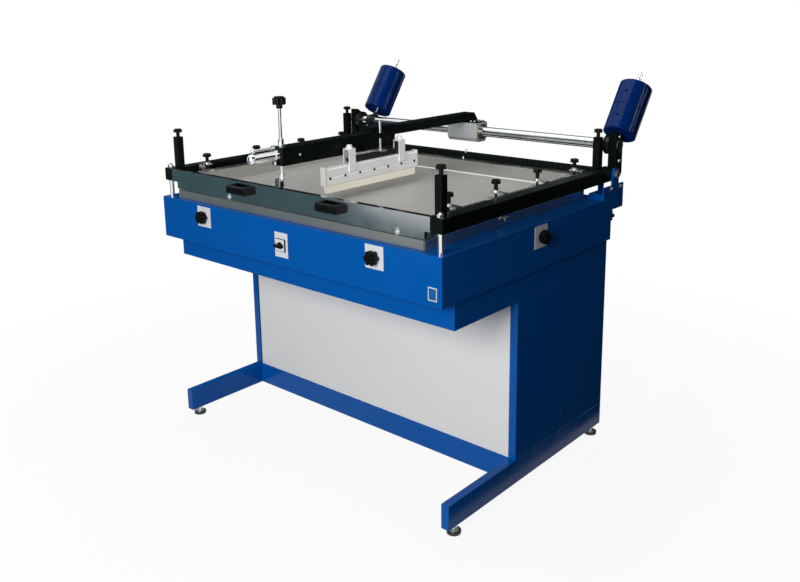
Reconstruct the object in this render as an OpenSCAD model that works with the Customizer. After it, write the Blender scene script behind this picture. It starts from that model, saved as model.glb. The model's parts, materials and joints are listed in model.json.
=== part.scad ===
// Manual screen printing machine: cabinet with a vacuum bed, a counterweighted screen carrier
// and a squeegee arm that travels along a rear shaft.
// Sizes are in millimetres. X runs left to right, Y from front to back, Z up from the floor.

/* [Heights above the floor] */
// Levelling foot, floor to foot bar
foot_h = 29; // [20:1:45]
// Foot bar and cross beam height
bar_h = 80; // [60:1:100]
// Cabinet panel height
cabinet_h = 539; // [400:1:650]
// Lower tray height
tray_h = 84; // [60:1:120]
// Upper casing height
casing_h = 148; // [120:1:180]

/* [Upper casing] */
// Casing width
casing_w = 1300; // [1200:10:1400]
// Casing depth
casing_d = 955; // [900:5:1000]
// Casing sheet thickness
casing_t = 3; // [2:0.5:4]
// Width of the flange turned in under the casing
casing_flange = 20; // [14:1:24]
// Width of the window in the deck under the bed
window_w = 960; // [900:10:1000]
// Depth of the window in the deck
window_d = 650; // [600:10:680]
// Front edge of the window
window_front = 130; // [110:5:160]

/* [Lower tray and cabinet] */
// Tray side set in from the casing side
tray_step = 8; // [4:1:20]
// Tray front face behind the casing front face
tray_front = 66; // [40:1:90]
// Tray rear face ahead of the casing rear face
tray_rear = 10; // [4:1:20]
// Cabinet sheet thickness
sheet_t = 2; // [1.5:0.5:3]
// Cabinet front edge behind the casing front face
cabinet_front = 387; // [300:5:450]
// Thickness of a folded side panel and width of a foot bar
panel_t = 28; // [22:1:34]
// Front and rear panels set in from the side panel edges
panel_setback = 6; // [3:1:12]
// Ventilation slots in the rear panel
slot_count = 8; // [4:1:9]
// Ventilation slot height
slot_h = 6; // [4:1:8]
// Spacing of the ventilation slots
slot_pitch = 18; // [14:1:20]

/* [Foot bars and feet] */
// Front end of the foot bars behind the casing front face
bar_front = 38; // [20:2:80]
// Foot bar wall
bar_wall = 3; // [2:0.5:4]
// Foot pad diameter
pad_d = 45; // [40:1:60]
// Foot pad edge height
pad_h = 9; // [6:1:12]
// Foot spindle diameter
foot_spindle_d = 14; // [10:1:18]
// Foot centre from the end of the bar
foot_inset = 43; // [36:1:60]

/* [Blower] */
// Blower wheel housing diameter
blower_d = 260; // [220:10:300]
// Blower wheel housing width
blower_w = 96; // [80:2:120]
// Motor diameter
motor_d = 150; // [120:5:180]
// Motor length
motor_l = 230; // [180:10:260]
// Pipe outer diameter
pipe_d = 42; // [34:1:50]
// Pipe bend radius
pipe_bend_r = 48; // [44:1:52]
// Straight end of the exhaust pipe before its bend
pipe_out = 11; // [6:1:16]

/* [Vacuum bed] */
// How much the bed is wider than the screen frame on each side
bed_side = 0; // [-20:1:10]
// Bed depth
bed_d = 872; // [840:4:890]
// Bed front edge behind the casing front face
bed_front = 18; // [12:1:30]
// Bed thickness
bed_t = 30.5; // [24:0.5:34]
// Gap between the deck and the bed
bed_gap = 0.5; // [0.3:0.1:1.5]
// Bed adjustment each way
bed_travel = 8; // [4:1:10]
// Guide bar diameter
guide_d = 20; // [16:1:24]
// Guide bar centre below the deck
guide_drop = 66; // [60:1:72]
// Bearing block length along the guide bar
block_l = 60; // [50:2:80]

/* [Control plates and knobs] */
// Control plate width and height
plate_s = 72; // [66:1:80]
// Control plate thickness
plate_t = 1.5; // [1:0.5:3]
// Left control plate centre from the middle
plate_left_x = 408; // [380:2:430]
// Right control plate centre from the middle
plate_right_x = 400; // [380:2:430]
// Control plate centre below the deck
plate_drop = 43; // [40:1:60]
// Side control plate centre behind the front face
plate_side_y = 497; // [460:1:540]
// Switch plate width
switch_w = 61; // [54:1:72]
// Switch plate height
switch_h = 82; // [74:1:96]
// Control knob diameter
knob_d = 46; // [40:1:54]
// Control knob length
knob_l = 25; // [20:1:36]
// Control knob spindle diameter
spindle_d = 10; // [8:1:12]

/* [Rear hinges] */
// Outer face of a hinge block beyond the side rail
hinge_side = 7; // [6.5:0.5:9]
// Hinge axis behind the rear face of the casing
pivot_back = 23; // [15:1:35]
// Hinge pin diameter
pivot_d = 16; // [12:1:18]
// How far the hinge block reaches forward over the deck
hinge_lap = 58; // [40:1:70]
// Rear edge of the hinge block behind the casing
hinge_back = 82; // [70:1:100]
// Bottom of the hinge block below the deck
hinge_drop = 42; // [30:1:60]
// Hinge block body above the deck
hinge_rise = 20; // [14:1:24]
// Hinge block body width
hinge_w = 60; // [58:1:66]
// Hinge ear thickness
ear_t = 6; // [5:0.5:6.5]
// Outer ear radius
ear_r = 23; // [20:1:26]

/* [Screen carrier] */
// Side rail height and width
rail_s = 44; // [40:1:46]
// Gap between the screen frame and a side rail
rail_gap = 23; // [22:1:24]
// Front end of the rails behind the casing front face
rail_front = 11; // [6:1:16]
// Gap between the deck and the rails
rail_lift = 60; // [56:1:66]
// Rail wall
rail_wall = 3; // [2:0.5:4]
// Front bar depth
front_bar_d = 20; // [16:1:24]
// From the front face of the rear rail to the hinge axis
rear_rail_in = 58; // [56:1:62]
// Rear rail depth
rear_rail_d = 36; // [30:1:38]
// Rear rail height
rear_rail_h = 36; // [30:1:40]
// Ledge metal thickness
ledge_t = 4; // [3:0.5:5]
// Ledge width under the screen frame
ledge_w = 34; // [24:1:40]
// Corner post width
post_s = 25; // [20:1:28]
// Corner post height
post_h = 112; // [90:1:130]
// Post axis beyond the inner face of a side rail
post_in = 7.5; // [6:0.5:11]
// Width of the clips on the front bar
clip_w = 9; // [8:1:20]
// Left clip centre from the middle
clip_left_x = 282; // [270:1:290]
// Right clip centre from the middle
clip_right_x = 476; // [460:1:490]
// Front corner post centre behind the casing front face
post_front = 51; // [46:1:58]
// From the axis of a rear post to the hinge axis
post_rear_in = 57; // [48:1:73]
// Front stop leg diameter
leg_d = 17; // [14:1:20]
// Stop leg axis inside the outer face of a side rail
leg_in = 17; // [13:1:21]
// Front stop leg centre behind the casing front face
leg_y = 24; // [22:1:28]
// Threaded end of the stop leg
leg_stud_d = 12; // [10:1:12]

/* [Screen frame] */
// Frame width
frame_w = 1152; // [1100:4:1170]
// Frame depth
frame_d = 880; // [860:2:884]
// Frame front edge behind the casing front face
frame_front = 35; // [32:1:38]
// Frame bar width
frame_bar = 40; // [34:1:46]
// Frame bar height
frame_h = 45; // [40:1:50]
// Frame bottom above the deck
frame_lift = 39; // [37:1:41]
// Frame tube wall
frame_wall = 3; // [2:0.5:4]
// Mesh thickness
mesh_t = 0.5; // [0.3:0.1:0.8]

/* [Frame clamps] */
// Clamp centres behind the casing front face
clamp_y1 = 140; // [120:1:160]
// Second clamp
clamp_y2 = 374; // [350:1:400]
// Third clamp
clamp_y3 = 607; // [580:1:630]
// Fourth clamp
clamp_y4 = 841; // [820:1:850]
// Clamp screw axis inside the inner face of a side rail
clamp_reach = 36; // [32:1:39]
// Clamp bracket above the rails
clamp_rise = 2; // [1:1:6]
// Clamp bracket width
clamp_w = 26; // [20:1:32]
// Clamp bracket metal thickness
clamp_t = 4; // [3:0.5:5]
// Clamp finger thickness
finger_t = 5; // [3:0.5:6]
// Clamp screw diameter
clamp_screw_d = 8; // [6:1:10]
// Knob head diameter on clamps and posts
tknob_d = 31; // [26:1:36]
// Knob head thickness
tknob_t = 12; // [8:1:14]
// Knob neck diameter
tknob_neck = 13; // [11:1:16]

/* [Grip handles] */
// Grip length
grip_l = 92; // [80:2:120]
// Grip height
grip_h = 30; // [26:1:40]
// Grip projection from the front bar
grip_out = 26; // [22:1:40]
// Grip bar thickness
grip_t = 9; // [8:1:14]
// Left grip centre from the middle
grip_left_x = 212; // [180:1:240]
// Right grip centre from the middle
grip_right_x = 216; // [180:1:240]

/* [Shaft and counterweights] */
// Shaft diameter
shaft_d = 38; // [32:1:42]
// Shaft axis behind the hinge axis
shaft_back = 30; // [26:1:32]
// Shaft axis above the deck
shaft_rise = 180; // [170:1:190]
// Upright width
upright_w = 30; // [24:1:30]
// Upright depth
upright_d = 48; // [46:1:54]
// Upright top above the shaft axis
upright_rise = 46; // [40:1:50]
// Collar diameter
collar_d = 60; // [54:1:66]
// Left counterweight centre from the middle
weight_left_x = 535; // [528:1:550]
// Counterweight disc diameter
disc_d = 117; // [100:1:126]
// Counterweight disc thickness
disc_t = 98; // [80:1:110]
// Edge break of the discs
disc_edge = 2; // [1:0.5:4]
// Gap between the shaft axis and the first disc at the right
disc_base = 41; // [38:1:60]
// Gap between the shaft axis and the first disc at the left
base_left = 50; // [46:1:70]
// Counterweight rod diameter
weight_rod_d = 15; // [12:1:18]
// Rod length beyond the discs
rod_tip = 58; // [40:1:70]
// Lean of the right counterweight towards the rear
weight_lean = 36; // [28:1:37]
// Lean of the left counterweight towards the rear
lean_left = 34; // [30:1:40]
// Hole for the set screw of a disc
set_screw_d = 9; // [6:1:10]

/* [Squeegee carriage] */
// Carriage left end from the middle
car_x0 = -95; // [-110:1:-90]
// Carriage right end from the middle
car_x1 = 50; // [44:1:60]
// Carriage depth
car_d = 72; // [66:1:80]
// Carriage bottom below the shaft axis
car_down = 40; // [36:1:44]
// Carriage top above the shaft axis
car_up = 34; // [32:1:40]
// Bush outer diameter
bush_d = 50; // [46:1:54]
// Bush length
bush_l = 40; // [30:1:50]
// Bush flange thickness
bush_flange = 4; // [3:0.5:6]

/* [Squeegee arm] */
// Arm centre from the middle
arm_x = -25; // [-30:1:-20]
// Arm width
arm_w = 50; // [44:1:56]
// Rear bar height
arm_rear_h = 32; // [28:1:38]
// Rear end of the arm behind the shaft axis
arm_back = 42; // [36:1:50]
// Slant of the rear end
arm_slant = 24; // [10:1:30]
// Head box rear face
head_y1 = 545; // [530:1:560]
// Head box front face
head_y0 = 422; // [405:1:430]
// Head box bottom above the deck
head_z0 = 182; // [178:1:186]
// Head box top above the deck
head_z1 = 256; // [250:1:262]
// Front beam bottom above the deck
beam_z0 = 178; // [176:1:184]
// Front beam top above the deck
beam_z1 = 237; // [230:1:244]
// Front end of the beam behind the casing front face
beam_y0 = 15; // [10:1:20]
// Wall of the arm tubes
arm_wall = 4; // [3:0.5:5]
// Handle diameter
handle_d = 33; // [26:1:36]
// Handle length
handle_l = 117; // [100:1:130]
// Handle flange diameter
flange_d = 40; // [38:1:46]
// Handle flange thickness
flange_t = 18; // [14:1:22]
// Width of the lever at its hinge
lever_w = 10; // [9:1:12]
// Lever axis above the handle axis
lever_rise = 25; // [22:1:27]

/* [Roller rod] */
// Rod centre behind the casing front face
roller_rod_y = 32; // [31:1:33]
// Rod diameter
roller_rod_d = 11; // [9:1:16]
// Roller diameter
roller_d = 20; // [16:1:28]
// Roller width
roller_w = 14; // [10:1:17]
// Fork cheek thickness
fork_t = 4; // [3:0.5:5]
// Knob height above the deck
rod_knob_rise = 358; // [340:1:380]
// Rod knob diameter
rod_knob_d = 43; // [38:1:56]
// Rod knob height
rod_knob_h = 37; // [34:1:48]

/* [Squeegee] */
// Squeegee centre from the middle
sq_x = 25; // [23:1:32]
// Squeegee front end
sq_y0 = 166; // [150:2:210]
// Squeegee rear end
sq_y1 = 626; // [600:2:670]
// Holder bottom above the deck
sq_rise = 95; // [92:1:98]
// Holder height
sq_h = 58; // [50:1:60]
// Holder width
sq_w = 22; // [20:1:24]
// Blade thickness
blade_t = 9; // [7:0.5:10]
// Blade below the holder
blade_out = 28; // [22:1:30]
// Front clamp centre behind the casing front face
yoke_front = 288; // [280:1:300]
// Rear clamp centre behind the casing front face
yoke_rear = 542; // [520:1:550]
// Mounting bar thickness
mount_t = 14; // [12:1:16]
// Mounting bar height
mount_h = 18; // [14:1:19]
// Width of the squeegee clamps
yoke_w = 30; // [24:1:36]
// Height of the squeegee clamps above the deck
yoke_rise = 203; // [196:1:206]
// Diameter of the mounting bar where it turns in the clamps
trunnion_d = 13; // [8:1:14]
// Lift rod diameter
lift_rod_d = 9; // [6:1:10]
// Lift rod behind the casing front face
lift_y = 442; // [440:1:460]
// Thickness of the link plate on the mounting bar
link_t = 3.5; // [2:0.5:3.5]

/* [Clearances] */
// Running clearance of a shaft in its hole, on the radius
run_fit = 0.05; // [0.02:0.01:0.1]
// Gap between faces that slide
slide_gap = 0.2; // [0.1:0.05:0.4]
// Hole around a part that passes through freely
free_hole = 1; // [0.5:0.1:2]

/* [Hidden] */

$fn = 64;

z_bar = foot_h;
z_cab = z_bar + bar_h;
z_tray = z_cab + cabinet_h;
z_casing = z_tray + tray_h;
z_deck = z_casing + casing_h;

casing_x = casing_w / 2;
bed_w = frame_w + 2 * bed_side;
pivot_y = casing_d + pivot_back;
hinge_front = casing_d - hinge_lap;
hinge_rear = casing_d + hinge_back;
rear_rail_y = pivot_y - rear_rail_in;
post_rear = pivot_y - post_rear_in;
shaft_y = pivot_y + shaft_back;
arm_end_y = shaft_y + arm_back;
tray_x = casing_x - tray_step;
tray_back = casing_d - tray_rear;
bar_x0 = tray_x - panel_t;
cab_back = tray_back;

z_bed = z_deck + bed_gap;
z_bed_top = z_bed + bed_t;
bed_back = bed_front + bed_d;
guide_z = z_deck - guide_drop;
guide_y0 = window_front + 110;
guide_y1 = window_front + window_d - 110;
block_h = guide_d + 20;
cross_x = window_w / 2 - 90;
slide_z0 = guide_z + block_h / 2;
slide_plate = 8;
way_h = 14;
way_w = 30;
z_way = slide_z0 + slide_plate;

knob_z = z_deck - plate_drop;

z_rail = z_deck + rail_lift;
z_rail_top = z_rail + rail_s;
rail_in = frame_w / 2 + rail_gap;
rail_out = rail_in + rail_s;
post_x = rail_in + post_in;
leg_x = rail_out - leg_in;
clamp_x = rail_in - clamp_reach;
hinge_x = rail_out + hinge_side;
pivot_z = z_rail + rail_s / 2;
z_frame = z_deck + frame_lift;
z_frame_top = z_frame + frame_h;
z_post_top = z_rail_top + post_h;
rail_end = pivot_y + pivot_d / 2 + 4;

shaft_z = z_deck + shaft_rise;
upright_x = rail_out - upright_w;
weight_right_x = rail_out - upright_w / 2;
stack_l = 2 * disc_t;

car_y0 = shaft_y - car_d / 2;
arm_x0 = arm_x - arm_w / 2;
arm_x1 = arm_x + arm_w / 2;
plate_arm = 4;
z_arm = shaft_z + car_up + plate_arm;
z_beam0 = z_deck + beam_z0;
z_beam1 = z_deck + beam_z1;
z_head0 = z_deck + head_z0;
z_head1 = z_deck + head_z1;
rod_top = z_deck + rod_knob_rise;
roller_z = z_rail_top + roller_d / 2 + slide_gap;
z_fork = z_rail_top + roller_d + 3;

z_holder = z_deck + sq_rise;
z_holder_top = z_holder + sq_h;
z_mount = z_holder_top + 3;
tilt_z = z_mount + mount_h / 2;

handle_z = (z_beam0 + z_beam1) / 2 + 4;
lever_y = beam_y0 - flange_t / 2;
lever_z = handle_z + lever_rise;
hinge_out = 8;
x_low = -(hinge_x + hinge_out);
x_high = weight_right_x + disc_d / 2;
y_low = beam_y0 - handle_l;
function weight_back(base, lean) = (base + stack_l - disc_edge) * sin(lean) + disc_d / 2 * cos(lean);
y_high = shaft_y + max(weight_back(base_left, lean_left), weight_back(disc_base, weight_lean));
centre_x = (x_low + x_high) / 2;
centre_y = (y_low + y_high) / 2;

module placed() {
  translate([-centre_x, -centre_y, 0]) children();
}

module box(x0, x1, y0, y1, z0, z1) {
  translate([x0, y0, z0]) cube([x1 - x0, y1 - y0, z1 - z0]);
}

module xrod(r, x0, x1, y, z) {
  translate([x0, y, z]) rotate([0, 90, 0]) cylinder(r = r, h = x1 - x0);
}

module yrod(r, y0, y1, x, z) {
  translate([x, y1, z]) rotate([90, 0, 0]) cylinder(r = r, h = y1 - y0);
}

module zrod(r, z0, z1, x, y) {
  translate([x, y, z0]) cylinder(r = r, h = z1 - z0);
}

module both() {
  children();
  mirror([1, 0, 0]) children();
}

module rounded(w, d, r) {
  square([w, d - 2 * r], center = true);
  square([w - 2 * r, d], center = true);
  for (x = [-1, 1], y = [-1, 1]) translate([x * (w / 2 - r), y * (d / 2 - r)]) circle(r = r);
}

module lobes(d, n) {
  circle(r = 0.36 * d);
  for (i = [0 : n - 1]) rotate(i * 360 / n) translate([0.34 * d, 0]) circle(r = 0.16 * d);
}

// Foot bars, feet and cabinet

module foot_bars() {
  color("dodgerblue") placed() both() {
    difference() {
      box(bar_x0, tray_x, bar_front + bar_wall, tray_back - bar_wall, z_bar, z_bar + bar_h);
      box(bar_x0 + bar_wall, tray_x - bar_wall, bar_front, tray_back,
        z_bar + bar_wall, z_bar + bar_h - bar_wall);
      for (y = [bar_front + foot_inset, tray_back - foot_inset])
        zrod(foot_spindle_d / 2, z_bar - 1, z_bar + bar_wall + 1, tray_x - panel_t / 2, y);
    }
    box(bar_x0, tray_x, bar_front, bar_front + bar_wall, z_bar, z_bar + bar_h);
    box(bar_x0, tray_x, tray_back - bar_wall, tray_back, z_bar, z_bar + bar_h);
  }
}

module levelling_feet() {
  color("dimgray") placed() both() for (y = [bar_front + foot_inset, tray_back - foot_inset])
    translate([tray_x - panel_t / 2, y, 0]) {
      cylinder(r = pad_d / 2, h = pad_h);
      translate([0, 0, pad_h]) cylinder(r = pad_d / 2 - 6, h = 3);
      cylinder(r = foot_spindle_d / 2, h = z_bar + bar_h / 2);
      translate([0, 0, z_bar - 8]) cylinder(r = foot_spindle_d * 0.85, h = 8, $fn = 6);
    }
}

module cross_beams() {
  color("dodgerblue") placed() for (y = [cabinet_front, cab_back - panel_t]) difference() {
    box(-bar_x0, bar_x0, y, y + panel_t, z_bar, z_cab);
    box(-casing_w, casing_w, y + bar_wall, y + panel_t - bar_wall, z_bar + bar_wall, z_cab - bar_wall);
  }
}

module side_panels() {
  color("navy") placed() both() difference() {
    box(bar_x0, tray_x, cabinet_front, cab_back, z_cab, z_tray);
    box(bar_x0 - 1, tray_x - sheet_t, cabinet_front + sheet_t, cab_back - sheet_t,
      z_cab + sheet_t, z_tray - sheet_t);
  }
}

module cabinet_panels() {
  color("gainsboro") placed() {
    box(-bar_x0, bar_x0, cabinet_front + panel_setback, cabinet_front + panel_setback + sheet_t,
      z_cab, z_tray);
    difference() {
      box(-bar_x0, bar_x0, cab_back - panel_setback - sheet_t, cab_back - panel_setback, z_cab, z_tray);
      for (i = [0 : slot_count - 1], s = [-1, 1])
        translate([s * 300, cab_back - panel_setback - sheet_t / 2, z_cab + 90 + i * slot_pitch])
          cube([180, sheet_t * 3, slot_h], center = true);
      yrod(pipe_d / 2, cab_back - panel_t, cab_back, pipe_x(), pipe_z0());
    }
  }
}

module base_shelf() {
  color("silver") placed() box(-bar_x0, bar_x0, cabinet_front + panel_setback + sheet_t,
    cab_back - panel_setback - sheet_t, z_cab, z_cab + sheet_t + 1);
}

// Blower and pipes

function blower_x() = 60;
function blower_y() = (cabinet_front + cab_back) / 2 - 110;
function blower_z() = z_cab + sheet_t + 1 + blower_d / 2 + 14;
function pipe_x() = bar_x0 - pipe_d / 2 - 6;
function pipe_z1() = z_tray + tray_h / 2 - 8;
function pipe_z0() = pipe_z1() - 2 * pipe_bend_r;

module blower() {
  color("slategray") placed() {
    z0 = z_cab + sheet_t + 1;
    difference() {
      union() {
        xrod(blower_d / 2, blower_x(), blower_x() + blower_w, blower_y(), blower_z());
        box(blower_x(), blower_x() + blower_w, blower_y(), blower_y() + blower_d / 2 + 40,
          blower_z() - blower_d / 2, blower_z() - blower_d / 2 + 80);
      }
      xrod(blower_d / 5, blower_x() + blower_w - 20, blower_x() + blower_w + 1, blower_y(), blower_z());
    }
    xrod(motor_d / 2, blower_x() - motor_l, blower_x(), blower_y(), blower_z());
    xrod(motor_d / 2 + 5, blower_x() - motor_l - 34, blower_x() - motor_l, blower_y(), blower_z());
    box(blower_x() - 150, blower_x() - 60, blower_y() - 35, blower_y() + 35,
      blower_z(), blower_z() + motor_d / 2 + 40);
    box(blower_x() - motor_l, blower_x() + blower_w, blower_y() - 110, blower_y() - 70,
      z0, blower_z() - 20);
    box(blower_x() - motor_l, blower_x() + blower_w, blower_y() + 70, blower_y() + 110,
      z0, blower_z() - 20);
  }
}

module air_pipes() {
  color("black") placed() {
    translate([pipe_x(), tray_back + pipe_out, (pipe_z0() + pipe_z1()) / 2]) rotate([90, 0, 90])
      rotate([0, 0, -90]) rotate_extrude(angle = 180) translate([pipe_bend_r, 0]) circle(r = pipe_d / 2);
    yrod(pipe_d / 2, cab_back - 60, tray_back + pipe_out, pipe_x(), pipe_z0());
    yrod(pipe_d / 2, tray_back, tray_back + pipe_out, pipe_x(), pipe_z1());
    difference() {
      union() {
        zrod(pipe_d / 2, blower_z() + blower_d / 2 - 12, z_bed - 40, blower_x() + blower_w / 2, blower_y());
        for (z = [blower_z() + blower_d / 2 + 20 : 24 : z_tray - 60])
          zrod(pipe_d / 2 + 3, z, z + 8, blower_x() + blower_w / 2, blower_y());
      }
      xrod(blower_d / 2, blower_x(), blower_x() + blower_w, blower_y(), blower_z());
      zrod(pipe_d / 2 - 3, 0, z_deck, blower_x() + blower_w / 2, blower_y());
    }
  }
}

// Tray and casing

module lower_tray() {
  color("navy") placed() difference() {
    box(-tray_x, tray_x, tray_front, tray_back, z_tray, z_casing);
    box(-tray_x + sheet_t, tray_x - sheet_t, tray_front + sheet_t, tray_back - sheet_t,
      z_tray + sheet_t, z_casing + 1);
    zrod(pipe_d / 2 + free_hole, z_tray - 1, z_tray + sheet_t + 1, blower_x() + blower_w / 2, blower_y());
  }
}

module casing() {
  color("royalblue") placed() difference() {
    box(-casing_x, casing_x, 0, casing_d, z_casing, z_deck);
    box(-casing_x + casing_t, casing_x - casing_t, casing_t, casing_d - casing_t,
      z_casing + casing_t, z_deck - casing_t);
    box(-casing_x + casing_flange, casing_x - casing_flange, tray_front + casing_flange,
      casing_d - casing_flange, z_casing - 1, z_casing + casing_t + 1);
    box(-window_w / 2, window_w / 2, window_front, window_front + window_d,
      z_deck - casing_t - 1, z_deck + 1);
    for (x = [-plate_left_x, plate_right_x]) yrod(spindle_d / 2 + free_hole, -1, casing_t + 1, x, knob_z);
    yrod(spindle_d / 2 + free_hole, -1, casing_t + 1, switch_x(), switch_z());
    xrod(spindle_d / 2 + free_hole, casing_x - casing_t - 1, casing_x + 1, plate_side_y, knob_z);
    yrod(spindle_d / 2 + free_hole, casing_d - casing_t - 1, casing_d + 1, rear_knob_x(), rear_knob_z());
  }
}

function switch_x() = -6;
function switch_z() = z_deck - 76;
function rear_knob_x() = 626;
function rear_knob_z() = z_casing + 80;

module control_plates() {
  color("lightgray") placed() {
    for (x = [-plate_left_x, plate_right_x]) difference() {
      box(x - plate_s / 2, x + plate_s / 2, -plate_t, 0, knob_z - plate_s / 2, knob_z + plate_s / 2);
      yrod(spindle_d / 2 + free_hole, -plate_t - 1, 1, x, knob_z);
    }
    difference() {
      box(switch_x() - switch_w / 2, switch_x() + switch_w / 2, -plate_t, 0,
        switch_z() - switch_h / 2, switch_z() + switch_h / 2);
      yrod(spindle_d / 2 + free_hole, -plate_t - 1, 1, switch_x(), switch_z());
    }
    difference() {
      box(casing_x, casing_x + plate_t, plate_side_y - plate_s / 2, plate_side_y + plate_s / 2,
        knob_z - plate_s / 2, knob_z + plate_s / 2);
      xrod(spindle_d / 2 + free_hole, casing_x - 1, casing_x + plate_t + 1, plate_side_y, knob_z);
    }
  }
}

// Control knobs: axis along Z here, spindle down

module control_knob(inside) {
  cylinder(r = knob_d * 0.36, h = 5);
  translate([0, 0, 5]) linear_extrude(knob_l - 9) lobes(knob_d, 6);
  translate([0, 0, knob_l - 4]) cylinder(r = knob_d * 0.36, h = 4);
  translate([0, 0, -inside]) cylinder(r = spindle_d / 2, h = inside + 1);
}

module front_knob(x, inside) {
  placed() translate([x, -plate_t - 1, knob_z]) rotate([90, 0, 0]) control_knob(inside);
}

module knob_front_left() {
  color("black") front_knob(-plate_left_x, lug_y() + 20);
}

module knob_front_right() {
  color("black") front_knob(plate_right_x, lug_y() + 20);
}

module knob_side() {
  color("black") placed() translate([casing_x + plate_t + 1, plate_side_y, knob_z])
    rotate([0, 90, 0]) control_knob(casing_x - cross_x);
}

module knob_rear() {
  color("black") placed() translate([rear_knob_x(), casing_d + 1, rear_knob_z()])
    rotate([-90, 0, 0]) {
      linear_extrude(28) lobes(knob_d, 6);
      translate([0, 0, -14]) cylinder(r = spindle_d / 2, h = 15);
    }
}

module switch_pointer() {
  color("black") placed() translate([switch_x(), -plate_t - 1, switch_z()]) rotate([90, 0, 0]) {
    cylinder(r = 11, h = 8);
    translate([0, 0, 13]) cube([32, 9, 14], center = true);
    translate([0, 0, -14]) cylinder(r = spindle_d / 2, h = 15);
  }
}

// Bed and its slides

function lug_y() = window_front + 24;

module bed_guides() {
  color("silver") placed() for (y = [guide_y0, guide_y1]) {
    xrod(guide_d / 2, -casing_x + casing_t, casing_x - casing_t, y, guide_z);
    for (s = [-1, 1]) translate([s * (casing_x - casing_t - 6), y, guide_z]) rotate([0, 90, 0])
      cylinder(r = guide_d, h = 12, center = true);
  }
}

module cross_slide() {
  color("darkgray") placed() {
    difference() {
      union() {
        for (x = [-cross_x, cross_x], y = [guide_y0, guide_y1])
          translate([x, y, guide_z]) cube([block_l, guide_d + 24, block_h], center = true);
        box(-cross_x - block_l / 2, cross_x + block_l / 2, guide_y0 - 22, guide_y1 + 22,
          slide_z0, z_way);
        for (x = [-cross_x, cross_x])
          box(x - way_w / 2, x + way_w / 2, guide_y0 - 22, guide_y1 + 22, z_way, z_way + way_h);
        box(cross_x - 40, cross_x + block_l / 2, plate_side_y - 18, plate_side_y + 18,
          knob_z - 16, slide_z0 + 1);
      }
      for (y = [guide_y0, guide_y1]) xrod(guide_d / 2 + run_fit, -casing_x, casing_x, y, guide_z);
      xrod(spindle_d / 2 + run_fit, cross_x - 30, casing_x, plate_side_y, knob_z);
      zrod(pipe_d / 2 + bed_travel + 4, 0, z_deck, blower_x() + blower_w / 2, blower_y());
      box(-cross_x + 70, cross_x - 70, guide_y0 + 60, blower_y() - 80, slide_z0 - 1, z_way + 1);
    }
  }
}

module vacuum_bed() {
  color("lightsteelblue") placed() {
    difference() {
      union() {
        box(-bed_w / 2, bed_w / 2, bed_front, bed_back, z_bed, z_bed_top);
        for (x = [-cross_x, cross_x])
          box(x - way_w / 2 - 10, x + way_w / 2 + 10, guide_y0 + 10, guide_y1 - 10, z_way + 1, z_bed + 1);
        box(-cross_x + 60, cross_x - 60, guide_y0 + 40, guide_y1 - 40, z_bed - 22, z_bed + 1);
        for (x = [-plate_left_x, plate_right_x])
          box(x - 28, x + 28, lug_y(), lug_y() + 26, knob_z - 18, z_bed + 1);
      }
      for (x = [-cross_x, cross_x])
        box(x - way_w / 2 - slide_gap, x + way_w / 2 + slide_gap, 0, casing_d,
          z_way, z_way + way_h + slide_gap);
      for (x = [-plate_left_x, plate_right_x])
        box(x - spindle_d / 2 - bed_travel - 2, x + spindle_d / 2 + bed_travel + 2,
          lug_y() - 1, lug_y() + 30, knob_z - spindle_d / 2 - slide_gap, knob_z + spindle_d / 2 + slide_gap);
      box(-cross_x + 64, cross_x - 64, guide_y0 + 44, guide_y1 - 44, z_bed - 18, z_bed + 12);
      zrod(pipe_d / 2 + bed_travel + 2, z_bed - 30, z_bed - 10, blower_x() + blower_w / 2, blower_y());
    }
  }
}

module bed_wing_screw() {
  color("silver") placed() translate([bed_w / 2 + 1, 404, z_bed_top - 8]) rotate([0, 90, 0]) {
    cylinder(r = 7, h = 9);
    translate([0, 0, 8]) cube([11, 28, 5], center = true);
    translate([0, 0, -1]) cylinder(r = 4, h = 2);
  }
}

// Rear hinges

module hinge_blocks() {
  color("royalblue") placed() both() difference() {
    union() {
      box(hinge_x - hinge_w, hinge_x, hinge_front, hinge_rear, z_deck, z_deck + hinge_rise);
      box(hinge_x - hinge_w, hinge_x, casing_d, hinge_rear, z_deck - hinge_drop, z_deck + hinge_rise);
      box(hinge_x - ear_t, hinge_x, hinge_front, hinge_rear, z_deck + hinge_rise - 1, z_deck + 45);
      box(hinge_x - ear_t, hinge_x, pivot_y - ear_r, pivot_y + ear_r, z_deck + hinge_rise, pivot_z);
      xrod(ear_r, hinge_x - ear_t, hinge_x, pivot_y, pivot_z);
      box(hinge_x - hinge_w, hinge_x - hinge_w + ear_t, pivot_y - ear_in(), pivot_y + ear_in(),
        z_deck + hinge_rise - 1, pivot_z);
      xrod(ear_in(), hinge_x - hinge_w, hinge_x - hinge_w + ear_t, pivot_y, pivot_z);
    }
    xrod(pivot_d / 2, hinge_x - hinge_w - 1, hinge_x + 1, pivot_y, pivot_z);
  }
}

function ear_in() = 17;

module hinge_pins() {
  color("silver") placed() both() {
    xrod(pivot_d / 2, hinge_x - hinge_w - 2, hinge_x, pivot_y, pivot_z);
    translate([hinge_x, pivot_y, pivot_z]) rotate([0, 90, 0])
      cylinder(r = pivot_d * 0.78, h = hinge_out, $fn = 6);
  }
}

// Screen carrier

module side_rails() {
  color("darkslategray") placed() both() difference() {
    box(rail_in, rail_out, rail_front, rail_end, z_rail, z_rail_top);
    box(rail_in + rail_wall, rail_out - rail_wall, rail_front + rail_wall, rail_end + 1,
      z_rail + rail_wall, z_rail_top - rail_wall);
    xrod(pivot_d / 2 + run_fit, rail_in - 1, rail_out + 1, pivot_y, pivot_z);
    zrod(leg_stud_d / 2 + free_hole / 2, z_rail - 1, z_rail_top + 1, leg_x, leg_y);
  }
}

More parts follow.
